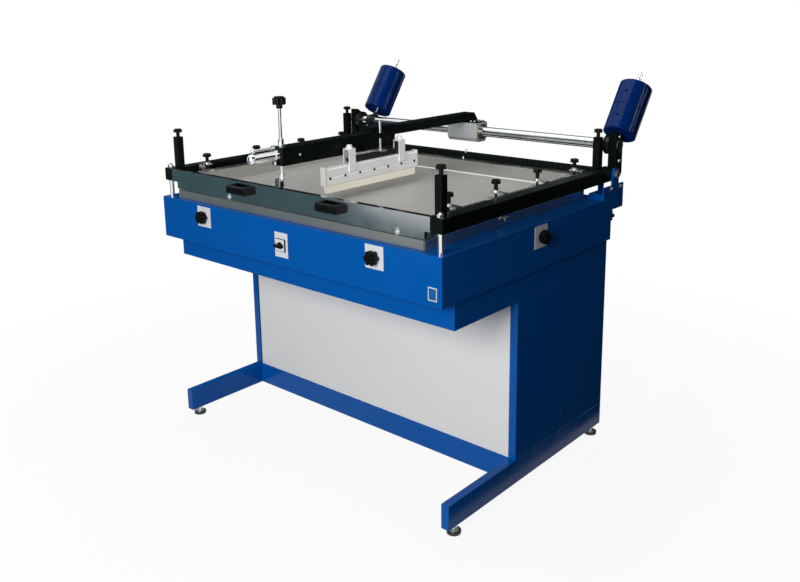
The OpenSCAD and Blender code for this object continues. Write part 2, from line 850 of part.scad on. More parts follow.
module front_bar() {
  color("silver") placed() {
    difference() {
      box(-rail_in, rail_in, rail_front, rail_front + front_bar_d, z_rail, z_rail_top);
      box(-rail_in - 1, rail_in + 1, rail_front + rail_wall, rail_front + front_bar_d - rail_wall,
        z_rail + rail_wall, z_rail_top - rail_wall);
    }
    box(-frame_w / 2, frame_w / 2, rail_front + 3, rail_front + 3 + ledge_t, z_frame - ledge_t, z_rail);
    box(-frame_w / 2, frame_w / 2, rail_front + 3 + ledge_t, rail_front + front_bar_d + ledge_w / 2 + 4,
      z_frame - ledge_t, z_frame);
  }
}

module frame_clips() {
  y = rail_front + 3;
  color("silver") placed() for (x = [-clip_left_x, clip_right_x]) {
    box(x - clip_w / 2, x + clip_w / 2, y - 3, y, z_frame - ledge_t - 2, z_rail - 4);
    yrod(4.5, y - 7, y - 3, x, z_frame + 3);
  }
}

module rear_rail() {
  color("darkslategray") placed() {
    difference() {
      box(-rail_in, rail_in, rear_rail_y, rear_rail_y + rear_rail_d, z_rail_top - rear_rail_h, z_rail_top);
      box(-rail_in - 1, rail_in + 1, rear_rail_y + rail_wall, rear_rail_y + rear_rail_d - rail_wall,
        z_rail_top - rear_rail_h + rail_wall, z_rail_top - rail_wall);
    }
    box(-frame_w / 2, frame_w / 2, rear_rail_y, rear_rail_y + ledge_t,
      z_frame - ledge_t, z_rail_top - rear_rail_h);
    box(-frame_w / 2, frame_w / 2, frame_front + frame_d - ledge_w / 2, rear_rail_y,
      z_frame - ledge_t, z_frame);
  }
}

module corner_posts() {
  color("darkslategray") placed() both() for (y = [post_front, post_rear]) difference() {
    box(post_x - post_s / 2, post_x + post_s / 2, y - post_s / 2, y + post_s / 2, z_rail_top, z_post_top);
    box(post_x - post_s / 2 + 3, post_x + post_s / 2 - 3, y - post_s / 2 + 3, y + post_s / 2 - 3,
      z_rail_top - 1, z_post_top - 8);
    zrod(clamp_screw_d / 2 + run_fit, z_post_top - 10, z_post_top + 1, post_x, y);
  }
}

module stop_legs() {
  color("silver") placed() both() {
    zrod(leg_d / 2, z_deck + slide_gap, z_rail, leg_x, leg_y);
    zrod(leg_d / 2 + 2, z_rail - 8, z_rail, leg_x, leg_y);
    zrod(leg_stud_d / 2, z_rail - 1, z_rail_top + 15, leg_x, leg_y);
    zrod(leg_stud_d * 0.85, z_rail_top, z_rail_top + 10, leg_x, leg_y, $fn = 6);
  }
}

module grip_at(x) {
  translate([x, rail_front, (z_rail + z_rail_top) / 2 - 5]) rotate([90, 0, 0]) difference() {
    linear_extrude(grip_out) rounded(grip_l, grip_h, 4);
    translate([0, 0, -1]) linear_extrude(grip_out - grip_t + 1)
      square([grip_l - 2 * grip_t - 8, grip_h + 1], center = true);
    for (s = [-1, 1]) translate([0, s * grip_h / 2, grip_out]) rotate([s * 45, 0, 0])
      cube([grip_l + 2, 7, 7], center = true);
  }
}

module grips() {
  color("black") placed() {
    grip_at(-grip_left_x);
    grip_at(grip_right_x);
  }
}

// Frame clamps

function clamp_ys() = [clamp_y1, clamp_y2, clamp_y3, clamp_y4];
z_finger = z_frame_top + finger_t;
z_clamp = z_rail_top + clamp_rise;
z_boss = z_clamp + clamp_t + 6;

module clamp_brackets() {
  color("silver") placed() both() for (y = clamp_ys()) {
    difference() {
      union() {
        box(rail_in - clamp_t, rail_in, y - clamp_w / 2, y + clamp_w / 2, z_rail + 6, z_clamp);
        box(clamp_x - 13, rail_in, y - clamp_w / 2, y + clamp_w / 2, z_clamp, z_clamp + clamp_t);
        zrod(9, z_clamp + clamp_t, z_boss, clamp_x, y);
      }
      zrod(clamp_screw_d / 2 + run_fit, z_clamp - 1, z_boss + 1, clamp_x, y);
    }
    difference() {
      box(clamp_x - 26, clamp_x + 9, y - clamp_w / 2, y + clamp_w / 2, z_frame_top, z_finger);
      zrod(clamp_screw_d / 2 + run_fit, z_frame_top - 1, z_finger + 1, clamp_x, y);
    }
  }
}

module tee_knob(screw_l, neck) {
  translate([0, 0, neck]) linear_extrude(tknob_t - 3) lobes(tknob_d, 6);
  translate([0, 0, neck + tknob_t - 3]) cylinder(r = tknob_d * 0.4, h = 3);
  cylinder(r = tknob_neck / 2, h = neck + 1);
  translate([0, 0, -screw_l]) cylinder(r = clamp_screw_d / 2, h = screw_l + 1);
}

module clamp_knob(s, y) {
  color("black") placed() translate([s * clamp_x, y, z_boss + 1])
    tee_knob(z_boss + 1 - z_frame_top, 18);
}

module clamp_knob_l1() {
  clamp_knob(-1, clamp_y1);
}

module clamp_knob_l2() {
  clamp_knob(-1, clamp_y2);
}

module clamp_knob_l3() {
  clamp_knob(-1, clamp_y3);
}

module clamp_knob_l4() {
  clamp_knob(-1, clamp_y4);
}

module clamp_knob_r1() {
  clamp_knob(1, clamp_y1);
}

module clamp_knob_r2() {
  clamp_knob(1, clamp_y2);
}

module clamp_knob_r3() {
  clamp_knob(1, clamp_y3);
}

module clamp_knob_r4() {
  clamp_knob(1, clamp_y4);
}

module post_knob(s, y) {
  color("black") placed() translate([s * post_x, y, z_post_top + 0.3]) tee_knob(40, 16);
}

module post_knob_fl() {
  post_knob(-1, post_front);
}

module post_knob_fr() {
  post_knob(1, post_front);
}

module post_knob_rl() {
  post_knob(-1, post_rear);
}

module post_knob_rr() {
  post_knob(1, post_rear);
}

module screen_frame() {
  x = frame_w / 2;
  y1 = frame_front + frame_d;
  color("gainsboro") placed() difference() {
    box(-x, x, frame_front, y1, z_frame, z_frame_top);
    box(-x + frame_bar, x - frame_bar, frame_front + frame_bar, y1 - frame_bar,
      z_frame - 1, z_frame_top + 1);
    difference() {
      box(-x + frame_wall, x - frame_wall, frame_front + frame_wall, y1 - frame_wall,
        z_frame + frame_wall, z_frame_top - frame_wall);
      box(-x + frame_bar - frame_wall, x - frame_bar + frame_wall, frame_front + frame_bar - frame_wall,
        y1 - frame_bar + frame_wall, z_frame, z_frame_top);
    }
  }
}

module screen_mesh() {
  x = frame_w / 2 - frame_bar;
  color("ivory") placed() box(-x, x, frame_front + frame_bar, frame_front + frame_d - frame_bar,
    z_frame, z_frame + mesh_t);
}

// Shaft, uprights and counterweights

module uprights() {
  y0 = shaft_y - upright_d / 2;
  y1 = shaft_y + upright_d / 2;
  top = shaft_z + upright_rise;
  color("darkslategray") placed() difference() {
    both() translate([upright_x, 0, 0]) rotate([90, 0, 90]) linear_extrude(upright_w)
      polygon([[rail_end, z_rail + 5], [y1 - 12, z_rail + 5], [y1, z_rail + 20],
        [y1, top - 22], [y0 + 14, top], [y0, top], [y0, z_rail_top], [rail_end, z_rail_top]]);
    xrod(shaft_d / 2, -rail_out - 1, rail_out + 1, shaft_y, shaft_z);
    translate([weight_right_x, shaft_y, shaft_z]) rotate([-weight_lean, 0, 0])
      cylinder(r = weight_rod_d / 2, h = 200);
  }
}

module shaft() {
  color("silver") placed() {
    xrod(shaft_d / 2, -rail_out, rail_out, shaft_y, shaft_z);
    both() xrod(shaft_d / 2 + 3, rail_out, rail_out + 3, shaft_y, shaft_z);
  }
}

module ring_on_shaft(r, x0, x1) {
  difference() {
    xrod(r, x0, x1, shaft_y, shaft_z);
    xrod(shaft_d / 2, x0 - 1, x1 + 1, shaft_y, shaft_z);
  }
}

module shaft_collars() {
  color("black") placed() {
    both() {
      ring_on_shaft(collar_d / 2, upright_x - 14, upright_x);
      ring_on_shaft(collar_d / 2 + 5, upright_x - 18, upright_x - 14);
    }
    for (x = [-weight_left_x - 20, -weight_left_x + 8]) ring_on_shaft(shaft_d / 2 + 6, x, x + 12);
    difference() {
      union() {
        xrod(shaft_d / 2 + 8, -weight_left_x - 8, -weight_left_x + 8, shaft_y, shaft_z);
        translate([-weight_left_x, shaft_y, shaft_z]) rotate([-lean_left, 0, 0])
          cylinder(r = weight_rod_d / 2 + 4, h = disc_base - 4);
      }
      xrod(shaft_d / 2, -rail_out, 0, shaft_y, shaft_z);
      translate([-weight_left_x, shaft_y, shaft_z]) rotate([-lean_left, 0, 0])
        cylinder(r = weight_rod_d / 2, h = 200);
    }
  }
}

// Counterweight rod and discs: axis along Z here, shaft axis at the origin

module weight_rod(base) {
  difference() {
    cylinder(r = weight_rod_d / 2, h = base + stack_l + rod_tip);
    rotate([0, 90, 0]) cylinder(r = shaft_d / 2, h = casing_w, center = true);
  }
}

module weight_pair(base) {
  for (i = [0, 1]) translate([0, 0, base + i * disc_t]) difference() {
    union() {
      translate([0, 0, disc_edge]) cylinder(r = disc_d / 2, h = disc_t - 2 * disc_edge);
      cylinder(r = disc_d / 2 - disc_edge, h = disc_t);
    }
    translate([0, 0, -1]) cylinder(r = weight_rod_d / 2, h = disc_t + 2);
    translate([0, -disc_d / 2 + 12, disc_t / 2]) rotate([90, 0, 0]) cylinder(r = set_screw_d / 2, h = 20);
  }
}

module weight_rods() {
  color("silver") placed() {
    translate([-weight_left_x, shaft_y, shaft_z]) rotate([-lean_left, 0, 0]) weight_rod(base_left);
    translate([weight_right_x, shaft_y, shaft_z]) rotate([-weight_lean, 0, 0]) weight_rod(disc_base);
  }
}

module weight_discs() {
  color("royalblue") placed() {
    translate([-weight_left_x, shaft_y, shaft_z]) rotate([-lean_left, 0, 0]) weight_pair(base_left);
    translate([weight_right_x, shaft_y, shaft_z]) rotate([-weight_lean, 0, 0]) weight_pair(disc_base);
  }
}

// Squeegee carriage and arm

module bushes() {
  color("goldenrod") placed() difference() {
    union() {
      xrod(bush_d / 2, car_x0, car_x0 + bush_l, shaft_y, shaft_z);
      xrod(bush_d / 2 + 5, car_x0 - bush_flange, car_x0 - slide_gap, shaft_y, shaft_z);
      xrod(bush_d / 2, car_x0 - slide_gap - 0.1, car_x0 + 1, shaft_y, shaft_z);
      xrod(bush_d / 2, car_x1 - bush_l, car_x1, shaft_y, shaft_z);
      xrod(bush_d / 2 + 5, car_x1 + slide_gap, car_x1 + bush_flange, shaft_y, shaft_z);
      xrod(bush_d / 2, car_x1 - 1, car_x1 + slide_gap + 0.1, shaft_y, shaft_z);
    }
    xrod(shaft_d / 2 + run_fit, car_x0 - 20, car_x1 + 20, shaft_y, shaft_z);
  }
}

module carriage() {
  h = car_d / 2;
  color("lightgray") placed() difference() {
    translate([car_x0, shaft_y, shaft_z]) rotate([90, 0, 90]) linear_extrude(car_x1 - car_x0)
      polygon([[-h + 14, -car_down], [h - 14, -car_down], [h - 4, -car_down + 14], [h, car_up],
        [-h, car_up], [-h + 4, -car_down + 14]]);
    xrod(bush_d / 2 + run_fit, car_x0 - 1, car_x1 + 1, shaft_y, shaft_z);
  }
}

module arm() {
  color("darkslategray") placed() {
    box(car_x0 + 5, car_x1 - 5, car_y0 + 4, car_y0 + car_d - 4, shaft_z + car_up, z_arm);
    difference() {
      union() {
        translate([arm_x0, 0, 0]) rotate([90, 0, 90]) linear_extrude(arm_w)
          polygon([[head_y1 - 1, z_arm], [arm_end_y, z_arm], [arm_end_y - arm_slant, z_arm + arm_rear_h],
            [head_y1 - 1, z_arm + arm_rear_h]]);
        box(arm_x0 - 3, arm_x1 + 3, head_y0, head_y1, z_head0, z_head1);
        box(arm_x0, arm_x1, beam_y0, head_y0 + 1, z_beam0, z_beam1);
        box(arm_x1 + 2, sq_x + lift_rod_d / 2 + 5, lift_y - 9, lift_y + 9, z_lug, z_lug + 18);
      }
      box(arm_x0 + arm_wall, arm_x1 - arm_wall, head_y1 - 8, arm_end_y - arm_slant - 6,
        z_arm + arm_wall, z_arm + arm_rear_h - arm_wall);
      box(arm_x0 + arm_wall, arm_x1 - arm_wall, head_y0 + arm_wall, head_y1 - arm_wall,
        z_head0 + arm_wall, z_head1 - arm_wall);
      box(arm_x0 + arm_wall, arm_x1 - arm_wall, beam_y0 + 36, head_y0 + 8,
        z_beam0 + arm_wall, z_beam1 - arm_wall);
      zrod(roller_rod_d / 2 + run_fit, z_beam0 - 1, z_beam1 + 30, arm_x, roller_rod_y);
      zrod(lift_rod_d / 2 + run_fit, z_head0 - 1, z_head1 + 1, sq_x, lift_y);
    }
  }
}

z_lug = z_head0 + 38;

// Handle tube with its flange, the cheeks of the lever hinge, a screw and the guide collar of the rod

module handle() {
  color("silver") placed() {
    difference() {
      union() {
        yrod(flange_d / 2, beam_y0 - flange_t, beam_y0, arm_x, handle_z);
        box(arm_x - 10, arm_x + 10, beam_y0 - flange_t, beam_y0, handle_z, lever_z + 6);
      }
      box(arm_x - lever_w / 2 - slide_gap, arm_x + lever_w / 2 + slide_gap, beam_y0 - flange_t - 1,
        beam_y0 + 1, lever_z - 8, lever_z + 8);
    }
    xrod(3, arm_x - 10, arm_x + 10, lever_y, lever_z);
    yrod(handle_d / 2, y_low + handle_d / 2, beam_y0 - flange_t, arm_x, handle_z);
    translate([arm_x, y_low + handle_d / 2, handle_z]) sphere(r = handle_d / 2);
    zrod(5, handle_z - flange_d / 2 - 9, handle_z - flange_d / 2 + 2, arm_x, beam_y0 - flange_t / 2);
    difference() {
      union() {
        zrod(roller_rod_d / 2 + 6, z_beam1, z_beam1 + 8, arm_x, roller_rod_y);
        zrod(roller_rod_d / 2 + 4, z_beam1 + 7, z_beam1 + 24, arm_x, roller_rod_y);
      }
      zrod(roller_rod_d / 2 + run_fit, z_beam1 - 1, z_beam1 + 30, arm_x, roller_rod_y);
    }
  }
}

module handle_lever() {
  color("silver") placed() difference() {
    union() {
      xrod(6.5, arm_x - lever_w / 2, arm_x + lever_w / 2, lever_y, lever_z);
      yrod(4.5, y_low + handle_d / 2 + 4, lever_y, arm_x, lever_z);
      translate([arm_x, y_low + handle_d / 2 + 4, lever_z]) sphere(r = lever_z - handle_z - handle_d / 2 - slide_gap);
    }
    xrod(3 + run_fit, arm_x - 10, arm_x + 10, lever_y, lever_z);
  }
}

module roller_rod() {
  color("silver") placed() {
    zrod(roller_rod_d / 2, z_fork + 1, rod_top, arm_x, roller_rod_y);
    difference() {
      union() {
        box(arm_x - 10, arm_x + 10, fork_y() - roller_w / 2 - fork_t - 1, fork_y() + roller_w / 2 + fork_t + 1,
          roller_z - 6, z_fork + 8);
        zrod(10, z_fork + 7, z_fork + 20, arm_x, roller_rod_y);
      }
      box(arm_x - 20, arm_x + 20, fork_y() - roller_w / 2 - 1, fork_y() + roller_w / 2 + 1,
        roller_z - 20, z_fork);
      yrod(3 + run_fit, 0, 100, arm_x, roller_z);
    }
  }
}

function fork_y() = rail_front + front_bar_d / 2;

module roller() {
  color("black") placed() {
    yrod(roller_d / 2, fork_y() - roller_w / 2, fork_y() + roller_w / 2, arm_x, roller_z);
    yrod(3, fork_y() - roller_w / 2 - fork_t - 1, fork_y() + roller_w / 2 + fork_t + 1, arm_x, roller_z);
  }
}

module rod_knob() {
  color("black") placed() translate([arm_x, roller_rod_y, rod_top]) {
    cylinder(r = 10, h = 12);
    translate([0, 0, 12]) linear_extrude(rod_knob_h - 16) lobes(rod_knob_d, 6);
    translate([0, 0, rod_knob_h - 4]) cylinder(r = rod_knob_d * 0.38, h = 4);
  }
}

// Squeegee

module squeegee_mount() {
  z = z_mount + mount_h;
  color("dimgray") placed() {
    box(sq_x - mount_t / 2, sq_x + mount_t / 2, yoke_front + yoke_w / 2 + 1, yoke_rear - yoke_w / 2 - 1, z_mount, z);
    yrod(trunnion_d / 2, yoke_front - yoke_w / 2 + 4, yoke_rear + yoke_w / 2 + 6, sq_x, tilt_z);
    zrod(lift_rod_d / 2, z_mount + 2, z_head1 + 24, sq_x, lift_y);
    box(sq_x - 60, sq_x + 18, lift_y - 14, lift_y + 14, z, z + link_t);
    box(sq_x - 60, sq_x - 38, lift_y - 50, lift_y - 13, z, z + link_t);
  }
}

// Squeegee holder with its two clamps, each a bent strap with a web that turns on the mounting bar

yoke_t = 5;
z_yoke = z_deck + yoke_rise;

module squeegee_yoke(y, y_web) {
  w = sq_w / 2;
  difference() {
    box(sq_x - w - 4, sq_x + w + 4, y - yoke_w / 2, y + yoke_w / 2, z_holder_top - 26, z_yoke);
    box(sq_x - w, sq_x + w, y - yoke_w / 2 - 1, y + yoke_w / 2 + 1, z_holder_top - 27, z_yoke - 4);
  }
  difference() {
    box(sq_x - w - 1, sq_x + w + 1, y_web, y_web + yoke_t, z_holder_top - 1, z_yoke - 3);
    yrod(trunnion_d / 2 + run_fit, y_web - 1, y_web + yoke_t + 1, sq_x, tilt_z);
  }
  zrod(12, z_yoke, z_yoke + 6, sq_x, y, $fn = 6);
  zrod(8.5, z_yoke + 5, z_yoke + 12, sq_x, y);
}

module squeegee_holder() {
  w = sq_w / 2;
  b = blade_t / 2;
  color("silver") placed() {
    translate([sq_x, sq_y1, z_holder]) rotate([90, 0, 0]) linear_extrude(sq_y1 - sq_y0)
      polygon([[-w, 0], [-b, 0], [-b, 20], [b, 20], [b, 0], [w, 0], [w, 22], [w - 2, 24],
        [w - 2, 27], [w, 29], [w, sq_h - 7], [w - 4, sq_h - 5], [w - 4, sq_h], [-w + 4, sq_h],
        [-w + 4, sq_h - 5], [-w, sq_h - 7], [-w, 29], [-w + 2, 27], [-w + 2, 24], [-w, 22]]);
    squeegee_yoke(yoke_front, yoke_front + yoke_w / 2 - yoke_t);
    squeegee_yoke(yoke_rear, yoke_rear - yoke_w / 2);
  }
}

module squeegee_blade() {
  color("wheat") placed() box(sq_x - blade_t / 2, sq_x + blade_t / 2, sq_y0 + 5, sq_y1 - 5,
    z_holder - blade_out, z_holder + 20);
}

foot_bars();
levelling_feet();
cross_beams();
side_panels();
cabinet_panels();
base_shelf();
blower();
air_pipes();
lower_tray();
casing();
hinge_blocks();
hinge_pins();
control_plates();
bed_guides();
cross_slide();
vacuum_bed();
frame_clips();
bed_wing_screw();
knob_front_left();
knob_front_right();
knob_side();
knob_rear();
switch_pointer();
side_rails();
front_bar();
rear_rail();
corner_posts();
stop_legs();
grips();
clamp_brackets();
screen_frame();
screen_mesh();
uprights();
shaft();
shaft_collars();
weight_rods();
weight_discs();
post_knob_fl();
post_knob_fr();
post_knob_rl();
post_knob_rr();
clamp_knob_l1();
clamp_knob_l2();
clamp_knob_l3();
clamp_knob_l4();
clamp_knob_r1();
clamp_knob_r2();
clamp_knob_r3();
clamp_knob_r4();
bushes();
carriage();
arm();
handle();
handle_lever();
roller_rod();
roller();
rod_knob();
squeegee_mount();
squeegee_holder();
squeegee_blade();
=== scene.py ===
# %% [markdown]
# # A manual screen printing machine, dressed for a product photograph
#
# The machine stands on two foot bars. A sheet metal cabinet carries a wide casing with a
# vacuum bed on top, and over the bed lies a hinged frame that holds the printing screen.
# The construction model already has every part at its real size and place. This notebook
# gives the parts their finishes and adds the small things that are made last on such a
# machine: screws, plates, end caps and the woven cloth.
#
# The first cell loads the construction model. Every length from here on is in metres.

# %% Load the construction model
import json
import math

import bmesh
import bpy
from mathutils import Matrix, Vector


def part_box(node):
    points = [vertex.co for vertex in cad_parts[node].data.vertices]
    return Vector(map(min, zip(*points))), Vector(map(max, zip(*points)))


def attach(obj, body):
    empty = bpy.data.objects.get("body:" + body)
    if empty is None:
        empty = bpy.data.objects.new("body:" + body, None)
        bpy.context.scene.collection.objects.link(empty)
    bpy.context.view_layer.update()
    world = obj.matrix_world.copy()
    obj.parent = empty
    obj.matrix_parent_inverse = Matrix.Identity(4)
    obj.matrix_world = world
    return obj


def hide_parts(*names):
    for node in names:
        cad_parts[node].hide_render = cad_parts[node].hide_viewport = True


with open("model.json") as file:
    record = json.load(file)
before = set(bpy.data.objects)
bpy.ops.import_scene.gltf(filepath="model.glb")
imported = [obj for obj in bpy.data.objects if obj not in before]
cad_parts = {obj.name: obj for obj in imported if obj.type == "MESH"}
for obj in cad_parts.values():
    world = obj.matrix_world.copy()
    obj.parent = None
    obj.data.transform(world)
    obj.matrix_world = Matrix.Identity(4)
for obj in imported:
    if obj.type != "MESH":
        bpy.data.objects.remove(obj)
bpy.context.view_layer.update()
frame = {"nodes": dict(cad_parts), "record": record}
nodes = frame["nodes"]
slot_of = {s["node"]: s["material_slot"] for s in frame["record"]["subparts"]}

# %% [markdown]
# ## One set of coordinates
#
# A machine drawing counts from faces that can be touched: sideways from the middle of the
# casing, backwards from its front face, and up from the floor, all in millimetres. The
# helper `at` turns such a drawing position into the scene's metres, so that every later
# cell can use the numbers that a workshop would use.

# %% Positions as on a machine drawing
casing_low, casing_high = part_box("casing")
MIDDLE = (casing_low.x + casing_high.x) / 2
FRONT = casing_low.y


def at(x, y, z):
    """A point given in drawing millimetres, as a vector in metres."""
    return Vector((MIDDLE + x / 1000, FRONT + y / 1000, z / 1000))


print("middle", round(MIDDLE, 4), "front", round(FRONT, 4))

# %% [markdown]
# ## The camera
#
# The photographer stood at the right front corner, a little above the machine, and used a
# moderate lens. Three numbers describe the direction: the turn to the left, the downward
# tilt and a very small roll. A vertical shift keeps the upright edges nearly parallel, as
# a product photographer does.

# %% The photographer's camera
SHOT_WIDTH = 800
FOCAL_PIXELS = 878.5
SHIFT_PIXELS = (0.4, -86.0)
TURN, TILT, ROLL = math.radians(41.28), math.radians(12.77), math.radians(-0.76)
CAMERA_PLACE = (2074.4, -1790.2, 1546.3)
SENSOR_WIDTH = 36

scene = bpy.context.scene
camera_data = bpy.data.cameras.new("camera")
camera = bpy.data.objects.new("camera", camera_data)
scene.collection.objects.link(camera)
scene.camera = camera
camera_data.sensor_width = SENSOR_WIDTH
camera_data.lens = FOCAL_PIXELS / SHOT_WIDTH * SENSOR_WIDTH
camera_data.shift_x = -SHIFT_PIXELS[0] / SHOT_WIDTH
camera_data.shift_y = SHIFT_PIXELS[1] / SHOT_WIDTH
camera_data.clip_end = 60
look = Vector((-math.sin(TURN) * math.cos(TILT), math.cos(TURN) * math.cos(TILT), -math.sin(TILT)))
aim = look.to_track_quat("-Z", "Y").to_matrix().to_4x4()
camera.matrix_world = (Matrix.Translation(at(*CAMERA_PLACE)) @ aim
                       @ Matrix.Rotation(ROLL, 4, "Z"))
print("lens", round(camera_data.lens, 2), "mm")

# %% [markdown]
# ## Floor and light
#
# The machine was shot in a white studio. A white world alone would be seen in every
# polished face and would light the object far too strongly, so the world is plain white
# only where the camera, a reflection or a clear film looks at it, and dimmer where it
# lights a surface. The floor uses the same idea: most of its white does not depend on the
# lamps, and the rest catches the soft shadow that makes the feet stand on something.

# %% What is seen, and what only gives light
def seen_directly(tree):
    """1 for the camera's, a reflection's or a clear film's rays, 0 for rays that gather light."""
    path = tree.nodes.new("ShaderNodeLightPath")
    seen = path.outputs["Is Camera Ray"]
    for ray in ("Is Transmission Ray", "Is Glossy Ray"):
        either = tree.nodes.new("ShaderNodeMath")
        either.operation = "MAXIMUM"
        tree.links.new(seen, either.inputs[0])
        tree.links.new(path.outputs[ray], either.inputs[1])
        seen = either.outputs[0]
    return seen


def between(tree, value, low, high):
    """A Map Range node that turns 0 to 1 into low to high."""
    made = tree.nodes.new("ShaderNodeMapRange")
    made.inputs["To Min"].default_value = low
    made.inputs["To Max"].default_value = high
    tree.links.new(value, made.inputs["Value"])
    return made


# %% A white world that lights gently
scene.view_settings.view_transform = "Standard"
WORLD_LIGHT = 0.07

world = bpy.data.worlds.new("studio")
scene.world = world
world.use_nodes = True
tree = world.node_tree
tree.nodes.clear()
strength = between(tree, seen_directly(tree), WORLD_LIGHT, 1.0)
glow = tree.nodes.new("ShaderNodeBackground")
glow.inputs["Color"].default_value = (1, 1, 1, 1)
tree.links.new(strength.outputs["Result"], glow.inputs["Strength"])
tree.links.new(glow.outputs[0], tree.nodes.new("ShaderNodeOutputWorld").inputs["Surface"])

# %% The floor and its material
FLOOR_REACH = 12
FLOOR_TONE = (0.24, 0.94)  # how pale it is for gathered light, and where it is seen
GLOW_NEAR = 0.91  # share of plain white round the feet
GLOW_REACH = (0.9, 2.4)  # distances over which that share grows to 1

floor_mesh = bpy.data.meshes.new("floor")
corners = [(-FLOOR_REACH, -FLOOR_REACH, 0), (FLOOR_REACH, -FLOOR_REACH, 0),
           (FLOOR_REACH, FLOOR_REACH, 0), (-FLOOR_REACH, FLOOR_REACH, 0)]
floor_mesh.from_pydata(corners, [], [(0, 1, 2, 3)])
floor = bpy.data.objects.new("floor", floor_mesh)
scene.collection.objects.link(floor)
paper = bpy.data.materials.new("studio_floor")
paper.use_nodes = True
tree = paper.node_tree
tree.nodes.clear()
shown = seen_directly(tree)
paleness = between(tree, shown, *FLOOR_TONE)
lit = tree.nodes.new("ShaderNodeBsdfDiffuse")
tree.links.new(paleness.outputs["Result"], lit.inputs["Color"])
plain = tree.nodes.new("ShaderNodeEmission")
plain.inputs["Color"].default_value = (1, 1, 1, 1)
place = tree.nodes.new("ShaderNodeTexCoord")
reach = tree.nodes.new("ShaderNodeVectorMath")
reach.operation = "LENGTH"
tree.links.new(place.outputs["Object"], reach.inputs[0])
fade = between(tree, reach.outputs["Value"], GLOW_NEAR, 1.0)
fade.inputs["From Min"].default_value, fade.inputs["From Max"].default_value = GLOW_REACH
share = tree.nodes.new("ShaderNodeMath")
share.operation = "MULTIPLY"
tree.links.new(fade.outputs["Result"], share.inputs[0])
tree.links.new(shown, share.inputs[1])
mix = tree.nodes.new("ShaderNodeMixShader")
tree.links.new(share.outputs[0], mix.inputs["Fac"])
tree.links.new(lit.outputs[0], mix.inputs[1])
tree.links.new(plain.outputs[0], mix.inputs[2])
tree.links.new(mix.outputs[0], tree.nodes.new("ShaderNodeOutputMaterial").inputs["Surface"])
floor_mesh.materials.append(paper)
print("floor", floor.name, "world light", WORLD_LIGHT)

# %% [markdown]
# ## Lamps
#
# A wide lamp in front does most of the work, and a second one above keeps the tops of the
# parts from going dull. A third lights the back, for anyone who walks round the machine, and
# no surface mirrors it. Two narrow strips draw the long highlights on the counterweights,
# and a small lamp brightens the squeegee. In a studio these three would wear a snoot, and
# here each of them is linked to the parts that it may light.


# %% Soft lamps
def soft_box(name, where, target, size, power):
    """A square studio lamp that faces its target, both in drawing millimetres."""
    data = bpy.data.lights.new(name, "AREA")
    data.shape = "RECTANGLE"
    data.size, data.size_y = size
    data.energy = power
    lamp = bpy.data.objects.new(name, data)
    scene.collection.objects.link(lamp)
    start = at(*where)
    lamp.matrix_world = Matrix.Translation(start) @ (
        (at(*target) - start).to_track_quat("-Z", "Y").to_matrix().to_4x4())
    return lamp


soft_box("front_lamp", (1100, -3500, 2000), (0, 300, 500), (2.2, 1.8), 125)
soft_box("top_lamp", (-300, 300, 3900), (0, 500, 800), (2.6, 2.6), 40)
rear_lamp = soft_box("rear_lamp", (-1900, 4300, 1700), (-100, 900, 550), (2.0, 1.6), 75)
rear_lamp.visible_glossy = False


# %% Lamps for single parts
def light_only(lamp, parts):
    """Let a lamp light these construction parts and nothing else, as a snoot does."""
    lit_parts = bpy.data.collections.new(lamp.name + "_parts")
    for part in parts:
        lit_parts.objects.link(nodes[part])
    lamp.light_linking.receiver_collection = lit_parts


STRIP_TARGET = (500, 1120, 1300)
for number, back in enumerate((1700, 2700)):
    strip = soft_box("strip_lamp_%d" % number, (3300, back, 2000), STRIP_TARGET, (0.03, 2.4), 16)
    strip.visible_diffuse = False
    light_only(strip, ["weight_discs", "weight_rods", "shaft", "shaft_collars"])
snooted = soft_box("squeegee_lamp", (2600, 300, 2200), (25, 400, 1020), (0.6, 0.6), 24)
light_only(snooted, ["squeegee_holder", "squeegee_blade"])

# %% [markdown]
# ## Dark cards
#
# Gloss paint and chrome show whatever stands round the object. In an all-white room they
# would look washed out, so a photographer puts up dark cards just outside the picture. The
# ones on the left are sea green, the tone that the polished front bar mirrors. The cards are
# seen by reflections only and cast no shadow. Two of them at the right also take away the
# light that the floor would throw on the side of the casing.


# %% Put up the cards
def dark_card(name, points, glow=(0.006, 0.010, 0.011)):
    """A board that only reflections see, with its corners in drawing millimetres."""
    mesh = bpy.data.meshes.new(name)
    mesh.from_pydata([at(*p) for p in points], [], [tuple(range(len(points)))])
    card = bpy.data.objects.new(name, mesh)
    scene.collection.objects.link(card)
    for ray in ("camera", "diffuse", "transmission", "volume_scatter", "shadow"):
        setattr(card, "visible_" + ray, False)
    felt = bpy.data.materials.new(name)
    felt.use_nodes = True
    look_of = felt.node_tree.nodes["Principled BSDF"].inputs
    look_of["Base Color"].default_value = (0, 0, 0, 1)
    look_of["Specular IOR Level"].default_value = 0
    look_of["Emission Color"].default_value = (*glow, 1)
    look_of["Emission Strength"].default_value = 1.0
    mesh.materials.append(felt)
    return card


def wall(name, start, end, low, high, **more):
    """An upright card between two floor points."""
    return dark_card(name, [(*start, low), (*end, low), (*end, high), (*start, high)], **more)


